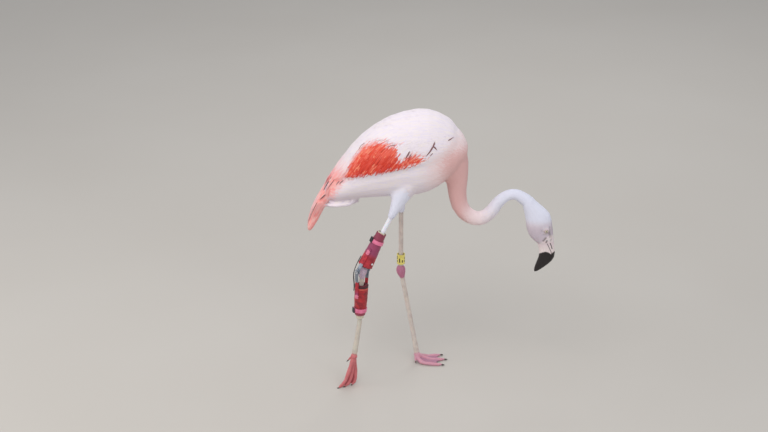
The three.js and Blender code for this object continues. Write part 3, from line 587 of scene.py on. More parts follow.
class Skin:
    """The skin's mesh and, for each of its vertices, where it belongs, how its feathers lie and
    how it is marked."""

    def __init__(self):
        self.mesh = skin_form()
        self.edges = read(self.mesh.edges, "vertices", 2, int)
        self.points = read(self.mesh.vertices, "co", 3)
        self.soften()
        self.normals = read(self.mesh.vertex_normals, "vector", 3)
        self.owner = nearest_nodes(self.points)
        self.neck_share, self.neck_off, self.neck_way = NECK.nearest(self.points)
        self.size_coat()
        self.lay_feathers()
        self.mark()
        self.sink()
        self.unwrap()

    def on(self, *parts):
        """1 on the nodes whose names start with one of the parts, else 0."""
        match = [node.startswith(parts) for node in FLESH]
        return np.array(match, float)[self.owner]

    def even(self, values, times):
        return spread(values, self.edges, times)

    def soften(self):
        """Rounds off where neck, head, breast, wing fronts and thighs meet, fills out the nape and
        the breast, and narrows the toe ends."""
        spots = [(CROWN, 30, 50), (BREAST, 60, 60), (placed(188, 0, 712), 55, 40)]
        spots += [(placed(x, side * y, z), 50, 40) for x, y, z in WING_FRONT for side in (1, -1)]
        spots += [(THIGHS[flank].points[1], 45, 30) for flank in SIDES]
        for spot, reach, times in spots:
            away = np.linalg.norm(self.points - np.array(spot), axis=1) / MM
            weight = ramp(away, reach, reach * 0.4)[:, None]
            shift = self.even(self.points, times) - self.points
            self.points += (shift - self.even(shift, times)) * weight
        self.place()
        normals = self.even(read(self.mesh.vertex_normals, "vector", 3), 8)
        for place, reach, narrow, rise in SWELLS:
            away = (own(self.points) - np.array(place)) * (1, narrow, 1)
            self.points += normals * rise * MM * np.exp(-((away / reach) ** 2).sum(1))[:, None]
        for flank in SIDES:
            for toe in TOES:
                claw = np.array(middle(f"claw_{flank}_{toe}"))
                away = self.points - claw
                way = unit(claw - LEGS[flank].points[-1])
                off = away - way * (away @ way)[:, None]
                near = ramp(np.linalg.norm(away, axis=1) / MM, 15, 5)
                self.points -= off * 0.4 * near[:, None]
        self.place()

    def place(self):
        self.mesh.vertices.foreach_set("co", self.points.ravel())
        self.mesh.update()

    def size_coat(self):
        x, _, z = own(self.points).T
        self.bare_face = self.on("head") * ramp(z, between(FACE_EDGE, x) + 1.5, between(FACE_EDGE, x) - 1.5)
        self.bare_leg = self.on(*LEG_PARTS, *FOOT_PARTS)
        table = np.array([coat_of(node) for node in FLESH], float)
        self.depth, self.length = self.even(table[self.owner] * MM, 40).T
        self.depth *= 1 - self.even(self.bare_leg, 3)
        eye_away = np.hypot(x - BEHIND_EYES, z - EYES.z / MM)
        self.bare_eye = self.on("head") * ramp(eye_away, 9.5, 7.5)
        face_near = ramp(z - between(FACE_EDGE, x), 55, 4) * self.on("head")
        self.length *= 1 - 0.55 * face_near
        self.length *= 1 - 0.4 * self.on("head") * ramp(eye_away, 20, 9)
        self.depth *= 1 - self.on("head") * np.clip(0.5 * face_near + ramp(eye_away, 14, 8), 0, 1)
        self.depth *= 1 - self.bare_face
        for flank in SIDES:
            share, _, _ = THIGHS[flank].nearest(self.points)
            tapering = self.on(f"thigh_{flank}") * ramp(share, 0.3, 1)
            self.length *= 1 - 0.45 * tapering
            self.depth *= 1 - 0.2 * tapering

    def lay_feathers(self):
        back = np.array(STERN - BREAST)
        away = self.points - np.array(BREAST)
        near = np.exp(-(away ** 2).sum(1, keepdims=True) / 0.1 ** 2)
        x, _, z = own(self.points).T
        low_wing = self.on("wing") * ramp(z - between(RED_BACK, x), 30, 0)
        low_wing = low_wing * ramp(x, 150, 60) * ramp(x, -130, -70)
        lie = near * unit(away) + (1 - near) * unit(back)
        lie += DOWN * low_wing[:, None] * 2.2
        neck = self.on("neck")[:, None]
        lie = lie * (1 - neck) + self.neck_way * neck
        head = self.on("head")[:, None]
        lie = lie * (1 - head) + unit(np.array(CROWN - BILL_ROOT)) * head
        for flank in SIDES:
            for part, line in (("thigh", THIGHS[flank]), ("tertials", PLUMES[flank])):
                here = self.on(f"{part}_{flank}")[:, None]
                lie = lie * (1 - here) + line.nearest(self.points)[2] * here
        for _ in range(6):
            lie = self.even(tangent(lie, self.normals), 12)
        self.lie = tangent(lie, self.normals)

    def mark(self):
        """The markings, and painted shade, where the end of a feather rooted at each vertex lies."""
        ends = self.points + self.lie * self.length[:, None] * 0.55
        x, y, z = own(ends).T
        trunk = self.on("wing", "trunk", "tertials")
        top, foot = between(RED_TOP, x), between(RED_FOOT, x)
        red = ramp(top - z, -7, 8) * ramp(z - foot, -4, 3) * ramp(x, -122, -94) * ramp(x, 120, 106)
        self.red = red * trunk * ramp(np.abs(y), 25, 38)
        rise = (z - foot) / np.maximum(top - foot, 1)
        self.blaze = np.maximum(ramp(rise, 0.85, 0.25) * ramp(x, 75, 25), ramp(x, -70, -95))
        behind = np.interp(z, *np.array(CORAL_EDGE, float).T[::-1]) - x
        coral = ramp(behind, -22, 16) * ramp(z, 665, 575) * ramp(self.normals[:, 2], 0.85, 0.35)
        self.coral = coral * trunk * (1 - self.red)
        # Pink down the neck to the breast, deepest at the neck's base and lower breast: partly real pink,
        # partly painted shade.
        self.pink = self.on("neck") * 0.95 * ramp(self.neck_share, 0.28, 0.85)
        breast = self.on("trunk") * ramp(x, 80, 190) * ramp(z, 720, 640)
        self.pink = self.even(np.maximum(self.pink, breast), 60)
        # Painted shade: the neck's base and lower part pinker where they face down.
        below = ramp(self.normals @ np.array([-0.5, 0, -0.86]), 0.1, 0.8)
        under = self.on("neck_base", "neck_lower") * below
        self.pink += 0.4 * self.even(under * ramp(self.neck_share, 0.45, 0.8), 30)
        self.grey = self.on("head") * ramp(z, 456, 420)
        # Painted shade: the lower flank greyed, more so towards the belly.
        self.grey = self.grey + 0.6 * self.on("trunk") * ramp(z - 0.12 * x, 575, 525)
        cold = self.on("head", "thigh") + self.on("neck") * ramp(self.neck_share, 0.5, 0.2)
        self.cool = self.even(cold * (1 - self.grey), 20)
        self.dark = np.zeros(len(x))
        # Painted shade: dark streaks on the face.
        for start, end, radius, strength in FACE_SHADES:
            start, run = np.array(start), np.array(end) - np.array(start)
            share = np.clip(((x - start[0]) * run[0] + (z - start[1]) * run[1]) / (run @ run), 0, 1)
            away = np.hypot(x - start[0] - share * run[0], z - start[1] - share * run[1])
            self.dark += strength * np.exp(-(away / radius) ** 2) * ramp(np.abs(y), 5, 10) * self.on("head")

    def sink(self):
        """Takes the coat's depth off and works scutes into the bare skin of the legs."""
        depth = self.depth.copy()
        self.rows, self.plated = np.zeros(len(depth)), np.zeros(len(depth))
        # The face's painted shade streaks are also pressed in as shallow creases.
        depth += 0.5 * MM * self.dark * self.bare_face
        for flank in SIDES:
            line = LEGS[flank]
            share, offset, way = line.nearest(self.points, 400)
            mine = self.bare_leg * self.on(*on_side(flank, LEG_PARTS))
            front = unit(np.cross(np.array([0, 1.0, 0]), way))
            angle = np.arctan2((offset * np.cross(way, front)).sum(1), -(offset * front).sum(1))
            along = share * line.along[-1] / MM
            face = ramp(np.abs(angle), 1.25, 1.0)
            edge = sum(np.exp(-((np.abs(angle) - at) / 0.1) ** 2) for at in (1.15, 2.2))
            depth += mine * 0.15 * MM * edge
            end = line.along[-1] / MM - along
            self.rows += mine * (along / 4.2 + 0.12 * np.cos(angle))
            self.plated += mine * face * ramp(end, 3, 7)
            foot = self.on(*on_side(flank, FOOT_PARTS))
            reach = np.linalg.norm(self.points - line.points[-1], axis=1) / MM
            upward = ramp(self.normals[:, 2] if flank == "left" else -self.normals[:, 0], -0.1, 0.3)
            self.rows += foot * reach / 2.8
            webbed = self.even(foot * self.web_at(flank), 6)
            self.plated += foot * upward * ramp(reach, 7, 12) * (1 - webbed)
        self.web = self.even(self.web_at("left") + self.web_at("right"), 4)
        self.plated = self.even(self.plated, 3)
        self.points = self.points - self.normals * depth[:, None]
        self.points[:, 2] = np.maximum(self.points[:, 2], 0.03 * MM)
        self.place()
        self.normals = unit(self.even(read(self.mesh.vertex_normals, "vector", 3), 2))

    def web_at(self, flank):
        """1 where a foot is no thicker than its web, else 0."""
        web = np.zeros(len(self.points))
        tree = BVHTree.FromBMesh(node_book([f"foot_{flank}"]))
        for i in np.nonzero(self.on(f"foot_{flank}"))[0]:
            start = Vector(self.points[i] - self.normals[i] * 0.6 * MM)
            far = tree.ray_cast(start, Vector(-self.normals[i]), 12 * MM)[3]
            web[i] = far is not None and far < 3.2 * MM
        return web

    def unwrap(self):
        """Lays each part out flat by its place round and along its own centre line."""
        x, y, z = own(self.points).T
        spine = between(((-150, 520), (-60, 590), (60, 630), (210, 650)), x)
        turn = np.arctan2(y, z - spine)
        along = ramp(x, -230, 225)
        neck = self.on("neck") > 0
        forward = np.cross(self.neck_way, [0, 1.0, 0])
        turn[neck] = np.arctan2(y * MM, (self.neck_off * forward).sum(1))[neck]
        along[neck] = self.neck_share[neck]
        head = self.on("head") > 0
        turn[head] = np.arctan2(y, x - 425 + (z - 430) * 0.35)[head]
        along[head] = ramp(z, 375, 520)[head]
        for flank in SIDES:
            thigh = self.on(f"thigh_{flank}") > 0
            share, offset, _ = THIGHS[flank].nearest(self.points)
            turn[thigh] = np.arctan2(offset[:, 0], offset[:, 1])[thigh]
            along[thigh] = (share * 0.48 + (0.5 if flank == "right" else 0))[thigh]
        corners = read(self.mesh.loops, "vertex_index", 1, int)
        starts = read(self.mesh.polygons, "loop_start", 1, int)
        counts = read(self.mesh.polygons, "loop_total", 1, int)
        around = (turn / (2 * math.pi) + 0.5)[corners]
        width = np.maximum.reduceat(around, starts) - np.minimum.reduceat(around, starts)
        around[(np.repeat(width, counts) > 0.5) & (around < 0.5)] += 1
        pairs = np.stack([0.02 + 0.9 * around, 0.02 + 0.95 * along[corners]], 1)
        store(self.mesh, "unwrap", pairs, "CORNER")


skin = Skin()

fields = {"out": skin.normals, "lie": skin.lie, "deep": skin.depth, "long": skin.length}
fields.update((mark, getattr(skin, mark)) for mark in MARKS)
for name, values in fields.items():
    store(skin.mesh, name, values)


# ---------------------------------------------------------------- coat

def blade_faces(stations, base=0):
    """Faces of a closed blade: a root, rings of left, top, right and bottom corners, and a tip."""
    faces, tip = [], base + 1 + 4 * stations
    for k in range(4):
        after = (k + 1) % 4
        faces.append((base, base + 1 + after, base + 1 + k))
        for i in range(stations - 1):
            a, b = base + 1 + 4 * i, base + 5 + 4 * i
            faces.append((a + k, a + after, b + after, b + k))
        last = base + 1 + 4 * (stations - 1)
        faces.append((last + k, last + after, tip))
    return faces


def blade(name, widths, ratio, stations, notch=0.0, camber=0.025, thick=0.006):
    """A closed feather blade, one unit long on +X. Its height over the skin is kept as a number,
    rise, because the coat lays every blade along the skin."""
    rows = [(0.0, 0.0, 0.0)]
    for i in range(1, stations + 1):
        s = i / (stations + 0.6)
        half = widths(s) * ratio / 2
        hump = camber * math.sin(math.pi * min(1, s + 0.15))
        sides = [half * (1 - notch * ((i + k) % 2)) for k in (0, 1)]
        rows += [(s + 0.3 * sides[0], sides[0], hump * 0.3), (s, 0.0, hump + thick),
                 (s + 0.3 * sides[1], -sides[1], hump * 0.3), (s, 0.0, hump - thick)]
    rows.append((1.0, 0.0, 0.0))
    mesh = bpy.data.meshes.new(name)
    mesh.from_pydata([(x, y, 0.0) for x, y, _ in rows], [], blade_faces(stations))
    table = np.array(rows)
    store(mesh, "along", table[:, 0])
    store(mesh, "across", table[:, 1] * 2 / ratio)
    store(mesh, "rise", table[:, 2])
    return bpy.data.objects.new(name, mesh)


def blades(name, widths, ratio, stations, **shape):
    """Three kinds of one blade, a little wider or narrower than each other."""
    group = bpy.data.collections.new(name)
    for k, factor in enumerate((0.85, 1.0, 1.18)):
        group.objects.link(blade(f"{name}_{k}", widths, ratio * factor, stations, **shape))
    return group


def pointed(s):
    return s ** 0.4 * (1 - s) ** 0.7 * 1.5


def tapered(s):
    return s ** 0.5 * max(0.0, 1 - s ** 2.2) ** 0.8 * 1.5


PATCH = 0.003  # width of one feather's place on the coat's unwrap


def coat_tree():
    """Covers a skin with blades: points spread over it, a blade on each, and every blade's
    corners laid on the skin again at their own height."""
    tree = bpy.data.node_groups.new("coat", "GeometryNodeTree")
    kinds = {"Skin": "Geometry", "Blades": "Collection", "Spacing": "Float", "Stretch": "Float",
             "Lift": "Float", "Jitter": "Float", "Softness": "Float", "Seed": "Int", "Finish": "Material"}
    for name, kind in kinds.items():
        tree.interface.new_socket(name, in_out="INPUT", socket_type=f"NodeSocket{kind}")
    tree.interface.new_socket("Coat", in_out="OUTPUT", socket_type="NodeSocketGeometry")
    graph = Graph(tree)
    given = graph.node("NodeGroupInput").outputs
    spacing, jitter = Value(graph, given["Spacing"]), Value(graph, given["Jitter"])

    def field(name, kind="FLOAT"):
        return graph.out("GeometryNodeInputNamedAttribute", {0: name}, data_type=kind)

    def keep(geometry, name, value, domain="POINT", kind="FLOAT"):
        values = {0: geometry, 2: name, 3: value}
        return graph.out("GeometryNodeStoreNamedAttribute", values, data_type=kind, domain=domain)

    def chance(low, high, salt):
        values = {2: low, 3: high, 8: salt}
        return graph.out("FunctionNodeRandomValue", values, 1, data_type="FLOAT")

    roots = graph.out("GeometryNodeDistributePointsOnFaces", {
        0: given["Skin"], 2: spacing, 3: 1.6 / (spacing * spacing), 5: field("cover"), 6: given["Seed"],
    }, distribute_method="POISSON")
    roots = keep(roots, "tone", chance(0.0, 1.0, 3))
    stretch = Value(graph, given["Stretch"])
    roots = keep(roots, "long", field("long") * stretch * chance(0.8, 1.2, 5))
    axes = {0: field("out", "FLOAT_VECTOR"), 1: field("lie", "FLOAT_VECTOR")}
    way = graph.out("FunctionNodeAxesToRotation", axes, primary_axis="Z", secondary_axis="X")
    turn = graph.out("ShaderNodeCombineXYZ", {2: chance(-1.0, 1.0, 7) * jitter})
    turn = graph.out("FunctionNodeEulerToRotation", {0: turn})
    way = graph.out("FunctionNodeRotateRotation", {0: way, 1: turn}, rotation_space="LOCAL")
    kinds = graph.out("GeometryNodeCollectionInfo", {0: given["Blades"], 1: True, 2: True})
    size = graph.out("ShaderNodeCombineXYZ", {0: field("long"), 1: field("long"), 2: field("long")})
    set_out = graph.out("GeometryNodeInstanceOnPoints", {0: roots, 2: kinds, 3: True, 5: way, 6: size})
    coat = graph.out("GeometryNodeRealizeInstances", {0: set_out})

    place = graph.out("GeometryNodeInputPosition")
    near = graph.out("GeometryNodeProximity", {0: given["Skin"], 2: place}, target_element="FACES")
    outward = graph.out("GeometryNodeSampleNearestSurface", {
        0: given["Skin"], 1: field("out", "FLOAT_VECTOR"), 3: place}, data_type="FLOAT_VECTOR")
    flatness = 1 - field("across") * field("across") * 0.85
    height = field("deep") * Value(graph, given["Lift"]) * field("along") ** 0.85 * flatness
    height = field("rise") * field("long") + height
    raised = graph.out("ShaderNodeVectorMath", {0: outward, 3: height}, operation="SCALE")
    place = graph.out("ShaderNodeVectorMath", {0: near, 1: raised}, operation="ADD")
    coat = graph.out("GeometryNodeSetPosition", {0: coat, 2: place})

    # Softness turns the blades' shading towards that of the skin under them.
    facing = [graph.out("GeometryNodeFieldOnDomain", {0: graph.out("GeometryNodeInputNormal")},
                        data_type="FLOAT_VECTOR", domain=domain) for domain in ("FACE", "POINT")]
    side = graph.out("ShaderNodeVectorMath", {0: facing[0], 1: outward}, 1, operation="DOT_PRODUCT")
    side = side.call("SIGN")
    even = graph.out("ShaderNodeVectorMath", {0: outward, 3: side}, operation="SCALE")
    even = graph.out("ShaderNodeMix", {0: given["Softness"], 4: facing[1], 5: even}, 1, data_type="VECTOR")
    even = graph.out("ShaderNodeVectorMath", {0: even}, operation="NORMALIZE")
    coat = graph.out("GeometryNodeSetMeshNormal", {0: coat, 1: even}, mode="FREE", domain="CORNER")

    own_place = {0: field("along") * PATCH, 1: field("across") * PATCH / 2}
    own_place = graph.out("ShaderNodeCombineXYZ", own_place)
    patch = {0: field("unwrap", "FLOAT_VECTOR"), 1: own_place}
    patch = graph.out("ShaderNodeVectorMath", patch, operation="ADD")
    coat = keep(coat, "OFBake", patch, "CORNER", "FLOAT2")
    coat = graph.out("GeometryNodeSetMaterial", {0: coat, 2: given["Finish"]})
    graph.node("NodeGroupOutput", {0: coat})
    return tree


COAT_TREE = coat_tree()
SHARED_MARKS = (*MARKS, "tone", "along", "across", "OFBake")


def run_tree(thing, tree, **inputs):
    """A plain mesh from an object and a node tree with these inputs."""
    step = thing.modifiers.new("tree", "NODES")
    step.node_group = tree
    for item in tree.interface.items_tree:
        if item.item_type == "SOCKET" and item.in_out == "INPUT" and item.name in inputs:
            step[item.identifier] = inputs[item.name]
    return finished(thing)


def lay_coat(name, cover, group, spacing, seed, lift=0.8, jitter=0.12, soft=0.9, stretch=1.0):
    """One coat piece, over the part of the skin where cover is above zero."""
    base = skin.mesh.copy()
    store(base, "cover", cover)
    mesh = run_tree(add_object("base", base), COAT_TREE, Blades=group, Spacing=spacing * MM, Lift=lift,
                    Stretch=stretch, Jitter=jitter, Softness=soft, Seed=seed, Finish=PLUMAGE)
    for extra in [a.name for a in mesh.attributes if a.name not in SHARED_MARKS and not a.is_required]:
        if not extra.startswith(("sharp", ".", "material", "custom")):
            mesh.attributes.remove(mesh.attributes[extra])
    coat = add_object(name, mesh)
    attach(coat, "root")


PLUMAGE = plumage()
x, y, z = own(skin.points).T
contour = blades("contour", tapered, 0.5, 4, notch=0.08)
covert = blades("covert", tapered, 0.26, 6, notch=0.2)
lance = blades("lance", pointed, 0.16, 9, notch=0.12, camber=0.012, thick=0.003)
tuft = blades("tuft", tapered, 0.36, 3)
fleck = blades("fleck", tapered, 0.42, 2, thick=0.008)
body = skin.even(skin.on("trunk", "tail", "tertials", "neck_base"), 3)
wing = skin.even(skin.on("wing"), 3)
over_red = z - between(RED_BACK, x)
upper, lower = wing * ramp(over_red, 42, 66), wing * ramp(over_red, 26, 4)
for flank, half, seed in (("left", y > 0, 11), ("right", y <= 0, 21)):
    lay_coat(f"coat_body_{flank}", body * half, contour, 3.5, seed)
    lay_coat(f"coat_wing_{flank}", wing * half, contour, 3.8, seed + 1)
    lay_coat(f"coat_coverts_{flank}", lower * half, covert, 3.7, seed + 2, lift=1.1,
             soft=0.75)
    lay_coat(f"coat_scapulars_{flank}", upper * half, lance, 7.5, seed + 3, lift=1.1,
             stretch=2.2, jitter=0.07)
lay_coat("coat_neck", skin.even(skin.on("neck"), 3), tuft, 2.0, 15, jitter=0.08, soft=0.95)
covered = skin.on("head") * (1 - skin.bare_face) * (1 - skin.bare_eye)
lay_coat("coat_head", covered, fleck, 1.25, 16, jitter=0.1, soft=0.95)
lay_coat("coat_thighs", skin.even(skin.on("thigh"), 3), tuft, 2.2, 17, jitter=0.08, soft=0.95)


# ---------------------------------------------------------------- long feathers

def surface(mesh):
    thing = add_object("surface", mesh)
    bpy.context.view_layer.update()
    tree = BVHTree.FromObject(thing, bpy.context.evaluated_depsgraph_get())
    drop(thing)
    return tree


SURFACE = surface(skin.mesh.copy())


def along_track(track, count):
    """A track's places evened out to a count, with the way it runs at each."""
    rows = np.array(track, float)
    steps = np.concatenate([[0], np.cumsum(np.linalg.norm(np.diff(rows, axis=0), axis=1))])
    shares = np.linspace(0, steps[-1], count)
    places = np.stack([np.interp(shares, steps, rows[:, c]) for c in (0, 1)], 1)
    return places, unit(np.gradient(places, axis=0))


class Plumes:
    """Gathers long feathers, each bent along its own path, into one mesh."""

    FIELDS = ("along", "across", "tone", *MARKS)

    def __init__(self):
        self.corners, self.faces, self.marks, self.patches = [], [], [], []

    def add(self, path, outward, width, shape, root, tone, thick=0.3, notch=0.08, **marks):
        """A feather along path with its face to outward; root is its place on the unwrap."""
        count = len(path) - 2
        ways = unit(np.gradient(path, axis=0))
        outward = tangent(outward, ways)
        side = np.cross(outward, ways)
        base = len(self.corners)
        own_marks = (tone, *(marks.get(mark, 0.0) for mark in MARKS))
        self.corners.append(path[0])
        self.marks.append((0, 0, *own_marks))
        for i in range(1, count + 1):
            s = i / (count + 0.6)
            half = shape(s) * width / 2 * MM
            crown = outward[i] * (0.1 * half + thick * MM)
            for across, lift in ((1, 0), (0, 1), (-1, 0), (0, -1)):
                trim = 1 - notch * ((i + across) % 2)
                edge = side[i] * half * across * trim - outward[i] * 0.15 * half * abs(across)
                self.corners.append(path[i] + edge + crown * lift)
                self.marks.append((s, across, *own_marks))
        self.corners.append(path[-1])
        self.marks.append((1, 0, *own_marks))
        self.faces += blade_faces(count, base)
        self.patches += [root] * (4 * count + 2)

    def piece(self, name, slot):
        mesh = bpy.data.meshes.new(name)
        mesh.from_pydata(self.corners, [], self.faces)
        marks = np.array(self.marks, float)
        for k, field in enumerate(self.FIELDS):
            store(mesh, field, marks[:, k])
        pairs = np.array(self.patches) + marks[:, :2] * (PATCH, PATCH / 2)
        store(mesh, "OFBake", pairs[read(mesh.loops, "vertex_index", 1, int)], "CORNER")
        thing = add_object(name, mesh, PLUMAGE)
        make_smooth(mesh)
        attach(thing, "root")


def drape(path, shares, start):
    """Draws the upper part of a path in to just above the skin."""
    for i, (place, share) in enumerate(zip(path, shares)):
        spot, normal, *_ = SURFACE.find_nearest(Vector(place))
        over = (Vector(place) - spot).dot(normal) - (0.3 + 2.2 * ramp(share, start, start + 0.25)) * MM
        if over > 0:
            path[i] -= np.array(normal) * over * ramp(share, 0.88, 0.7)
    return path


BUNDLE_ROOM = 0.0145  # how far from its middle line a rear bundle reaches at most


def bundle(line, shares):
    """A bundle's middle line, the way up from it and the bundle's radius at these shares."""
    shares = np.clip(shares, 0, 1)
    middles = line.at(shares)
    up = unit(np.cross([0, 1.0, 0], unit(np.gradient(middles, axis=0))))
    return middles, up, np.interp(shares, line.along / line.along[-1], np.minimum(line.radii, BUNDLE_ROOM))


def rear_plumes(flank, chance):
    """The long inner wing feathers that hang past the tail, in layers round their middle line."""
    line, plumes = PLUMES[flank], Plumes()
    shift = 0.4 if flank == "left" else 0
    # How far out each layer lies, its count of feathers, their width and how far along they end.
    layers = [(0.4, 6, 9, 0.84), (0.68, 12, 8, 0.92), (0.88, 22, 6.5, 0.98), (1.0, 36, 2.8, 1.03)]
    for depth, count, width, reach in layers:
        for k in range(count):
            turn = 2 * math.pi * (k + chance.uniform(-0.3, 0.3)) / count
            top = math.sin(turn)
            stop = reach * (0.88 + 0.12 * top) * chance.uniform(0.84, 1.0)
            start = chance.uniform(0.02, 0.3) if width > 5 else chance.uniform(0.2, 0.5)
            shares = np.linspace(start, stop, 18)
            middles, up, radii = bundle(line, shares)
            radii = np.maximum(radii, 2.5 * MM) * depth * (0.25 + 0.75 * ramp(shares, -0.05, 0.3))
            radii *= 1 + 0.12 * ramp(shares, 0.6, 1) * chance.uniform(-1, 1)
            outward = up * top + np.array([0, 1.0, 0]) * math.cos(turn)
            sway = np.sin(shares * chance.uniform(4, 9) + chance.uniform(0, 6))
            sway = sway * 0.8 * MM * ramp(shares, 0.3, 1)
            path = drape(middles + outward * radii[:, None], shares, start)
            path[:, 1] += sway
            root = (0.1 + 0.8 * turn / (2 * math.pi), 0.1 + 0.2 * depth + shift)
            side = math.cos(turn) * SIGN[flank]
            edge = width < 7 and top > 0.55
            ink = 0.85 if edge and side > 0.15 and chance.random() < 0.42 else 0.0
            coral = chance.uniform(0.05, 0.4) if edge and chance.random() < 0.5 else chance.uniform(0.6, 1)
            plumes.add(path, outward, width, pointed, root, chance.random(), coral=coral, dark=ink)
    # Strands on the inner side, which close the slot between the two bundles.
    for k in range(14):
        top = 1 if k < 9 else -1
        shares = np.linspace(chance.uniform(0.25, 0.4), chance.uniform(0.86, 1.0), 16)
        middles, up, radii = bundle(line, shares)
        path = middles + up * top * (radii * chance.uniform(0.75, 0.95))[:, None]
        path[:, 1] = START.y + SIGN[flank] * chance.uniform(0.3, 7) * MM
        root = (0.3 + 0.02 * k, 0.2 + shift)
        plumes.add(path, up * top, chance.uniform(6, 9), pointed, root, chance.random(),
                   coral=chance.uniform(0.5, 1))
    plumes.piece(f"plumes_{flank}", "coral_plumage")


def tail_fan():
    """Short overlapping tail feathers, side by side."""
    low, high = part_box("tail")
    plumes = Plumes()
    count = 24
    for k in range(count):
        share = k / (count - 1) * 2 - 1
        steps = np.linspace(0, 1, 12)[:, None]
        root = np.array([high.x + 4 * MM, START.y + share * 20 * MM, high.z - (6 + 3 * (k % 3)) * MM])
        tip = np.array([low.x + 14 * MM * share ** 2, START.y + share * 26 * MM, low.z + 2.5 * MM])
        path = root + (tip - root) * steps
        path[:, 2] -= np.sin(steps[:, 0] * math.pi) * 7 * MM * (1 - 0.3 * abs(share))
        path[:, 2] = np.maximum(path[:, 2], low.z + 0.8 * MM)
        outward = np.tile([-0.3, 0.35 * share, 1.0], (12, 1))
        plumes.add(path, outward, 7.5, tapered, (0.1 + 0.03 * k, 0.5), (k * 0.37) % 1)
    plumes.piece("tail_feathers", "plumage")


# ---------------------------------------------------------------- feathers round the red patch

# Thin dark feathers in the coat's gaps: partly black flight feathers showing through, partly painted
# shadow in the gaps and under overhanging feathers. In side view: their width, then the places
# (forward, up) they pass from root to tip.
GAPS = (
    (2.6, (-48, 682), (-58, 674), (-66, 661)),
    (1.8, (30, 691), (18, 688), (7, 683)),
    (5.6, (67, 677), (61, 667), (54, 656)),
    (3.4, (70, 670), (66, 662), (61, 655)),
    (6.5, (131, 700), (128, 690), (119, 676), (106, 660)),
    (5.4, (124, 688), (130, 685), (137, 676)),
    (3.0, (126, 671), (122, 667), (117, 662)),
    (3.8, (164, 696.5), (172, 699.5), (180, 702)),
    (3.4, (-104, 583), (-110, 576), (-116, 568)),
    (2.6, (-114, 577), (-119, 571), (-125, 561)),
    (4.6, (-153, 533), (-161, 524), (-170, 514)),
    (2.0, (-128, 578), (-142, 557), (-152, 540)),
    (1.8, (-160, 540), (-176, 512), (-184, 490)),
)
SHADOW_LINE = ((96, 645), (72, 637), (41, 628.5), (20, 620.5), (-4, 614))
FRINGE = ((-101, 592), (-62, 603), (-40, 608), (-21, 614), (-3, 617), (16, 622), (38, 630), (80, 641),
          (112, 650))


def on_flank(places, flank, heights):
    """Places in side view set on one flank's skin, at these heights over it, with its normals."""
    sign = SIGN[flank]
    path, outward = [], []
    for (forward, up), height in zip(places, heights):
        hit, normal, *_ = SURFACE.ray_cast(placed(forward, sign * 300, up), Vector((0, -sign, 0)))
        if hit:
            path.append(hit + normal * height * MM)
            outward.append(normal)
    return np.array(path), np.array(outward)


def patch_feathers(flank, chance):
    """Pale feathers that overhang the red patch, orange ones along its foot, dark ones in the gaps,
    partly painted shadow, and a painted shadow line along the patch's foot.
    """
    plumes, shift = Plumes(), 0.45 if flank == "left" else 0

    def lay(places, heights, width, shape, tone, **marks):
        path, outward = on_flank(places, flank, heights)
        if len(path) == len(places):
            forward, up = places[0]
            root = (0.1 + 0.3 * ramp(forward, -200, 200) + shift, 0.6 + 0.3 * ramp(up, 500, 720))
            plumes.add(path, outward, width, shape, tuple(map(float, root)), tone, **marks)

    edges, ways = along_track(RED_BACK[::-1], 62)
    for edge, way in zip(edges, ways):
        soft = float(ramp(edge[0], 0, -90))
        way = unit(way * (1 - 0.5 * soft) + np.array([-0.35, -0.9]) * chance.uniform(0.7, 1.3))
        tip = edge + way * chance.uniform(-6, 7) + np.array([0.6, -0.6])
        places = tip - way * np.linspace(chance.uniform(26, 38), 0, 9)[:, None]
        lay(places, np.linspace(0.2, 2.9, 9), chance.uniform(4.5, 8), tapered, chance.random(), thick=0.1,
            coral=chance.uniform(0, 0.5 + 0.5 * soft),
            red=0.6 if chance.random() < 0.12 + 0.25 * soft else 0)
    for edge, _ in zip(*along_track(RED_FRONT, 20)):
        way = unit(np.array([-0.45 - chance.uniform(0, 0.2), -0.9]))
        tip = edge + way * chance.uniform(-5, 7)
        places = tip - way * np.linspace(28, 0, 8)[:, None]
        lay(places, np.linspace(0.2, 2.9, 8), chance.uniform(4, 7), tapered, chance.random(), thick=0.1,
            coral=chance.uniform(0, 0.4))
    for edge, _ in zip(*along_track(FRINGE, 46)):
        way = unit(np.array([-0.3 - chance.uniform(0, 0.3), -0.9]))
        tip = edge + way * chance.uniform(-5, 1.5)
        red = 1.0 if chance.random() > 0.15 else 0.6
        places = tip - way * np.linspace(26, 0, 8)[:, None]
        lay(places, np.linspace(0.6, 3.0, 8), chance.uniform(3.5, 6), tapered, chance.random(), red=red,
            blaze=chance.uniform(0.4, 1))
    # Dark slivers in the gaps: partly black flight feathers, partly painted shadow.
    for width, *track in GAPS:
        lay(along_track(track, 8)[0], np.full(8, 3.3), width, pointed, 0.5, dark=0.74, red=0.55)
    places, _ = along_track(SHADOW_LINE, 20)
    lay(places, np.full(20, 2.6), 2.2, pointed, 0.1, red=1.0, dark=0.55)
    plumes.piece(f"patch_feathers_{flank}", "wing_plumage")


for flank, seed in (("left", 31), ("right", 32)):
    rear_plumes(flank, np.random.default_rng(seed))
    patch_feathers(flank, np.random.default_rng(seed + 10))
tail_fan()

# ---------------------------------------------------------------- skin piece

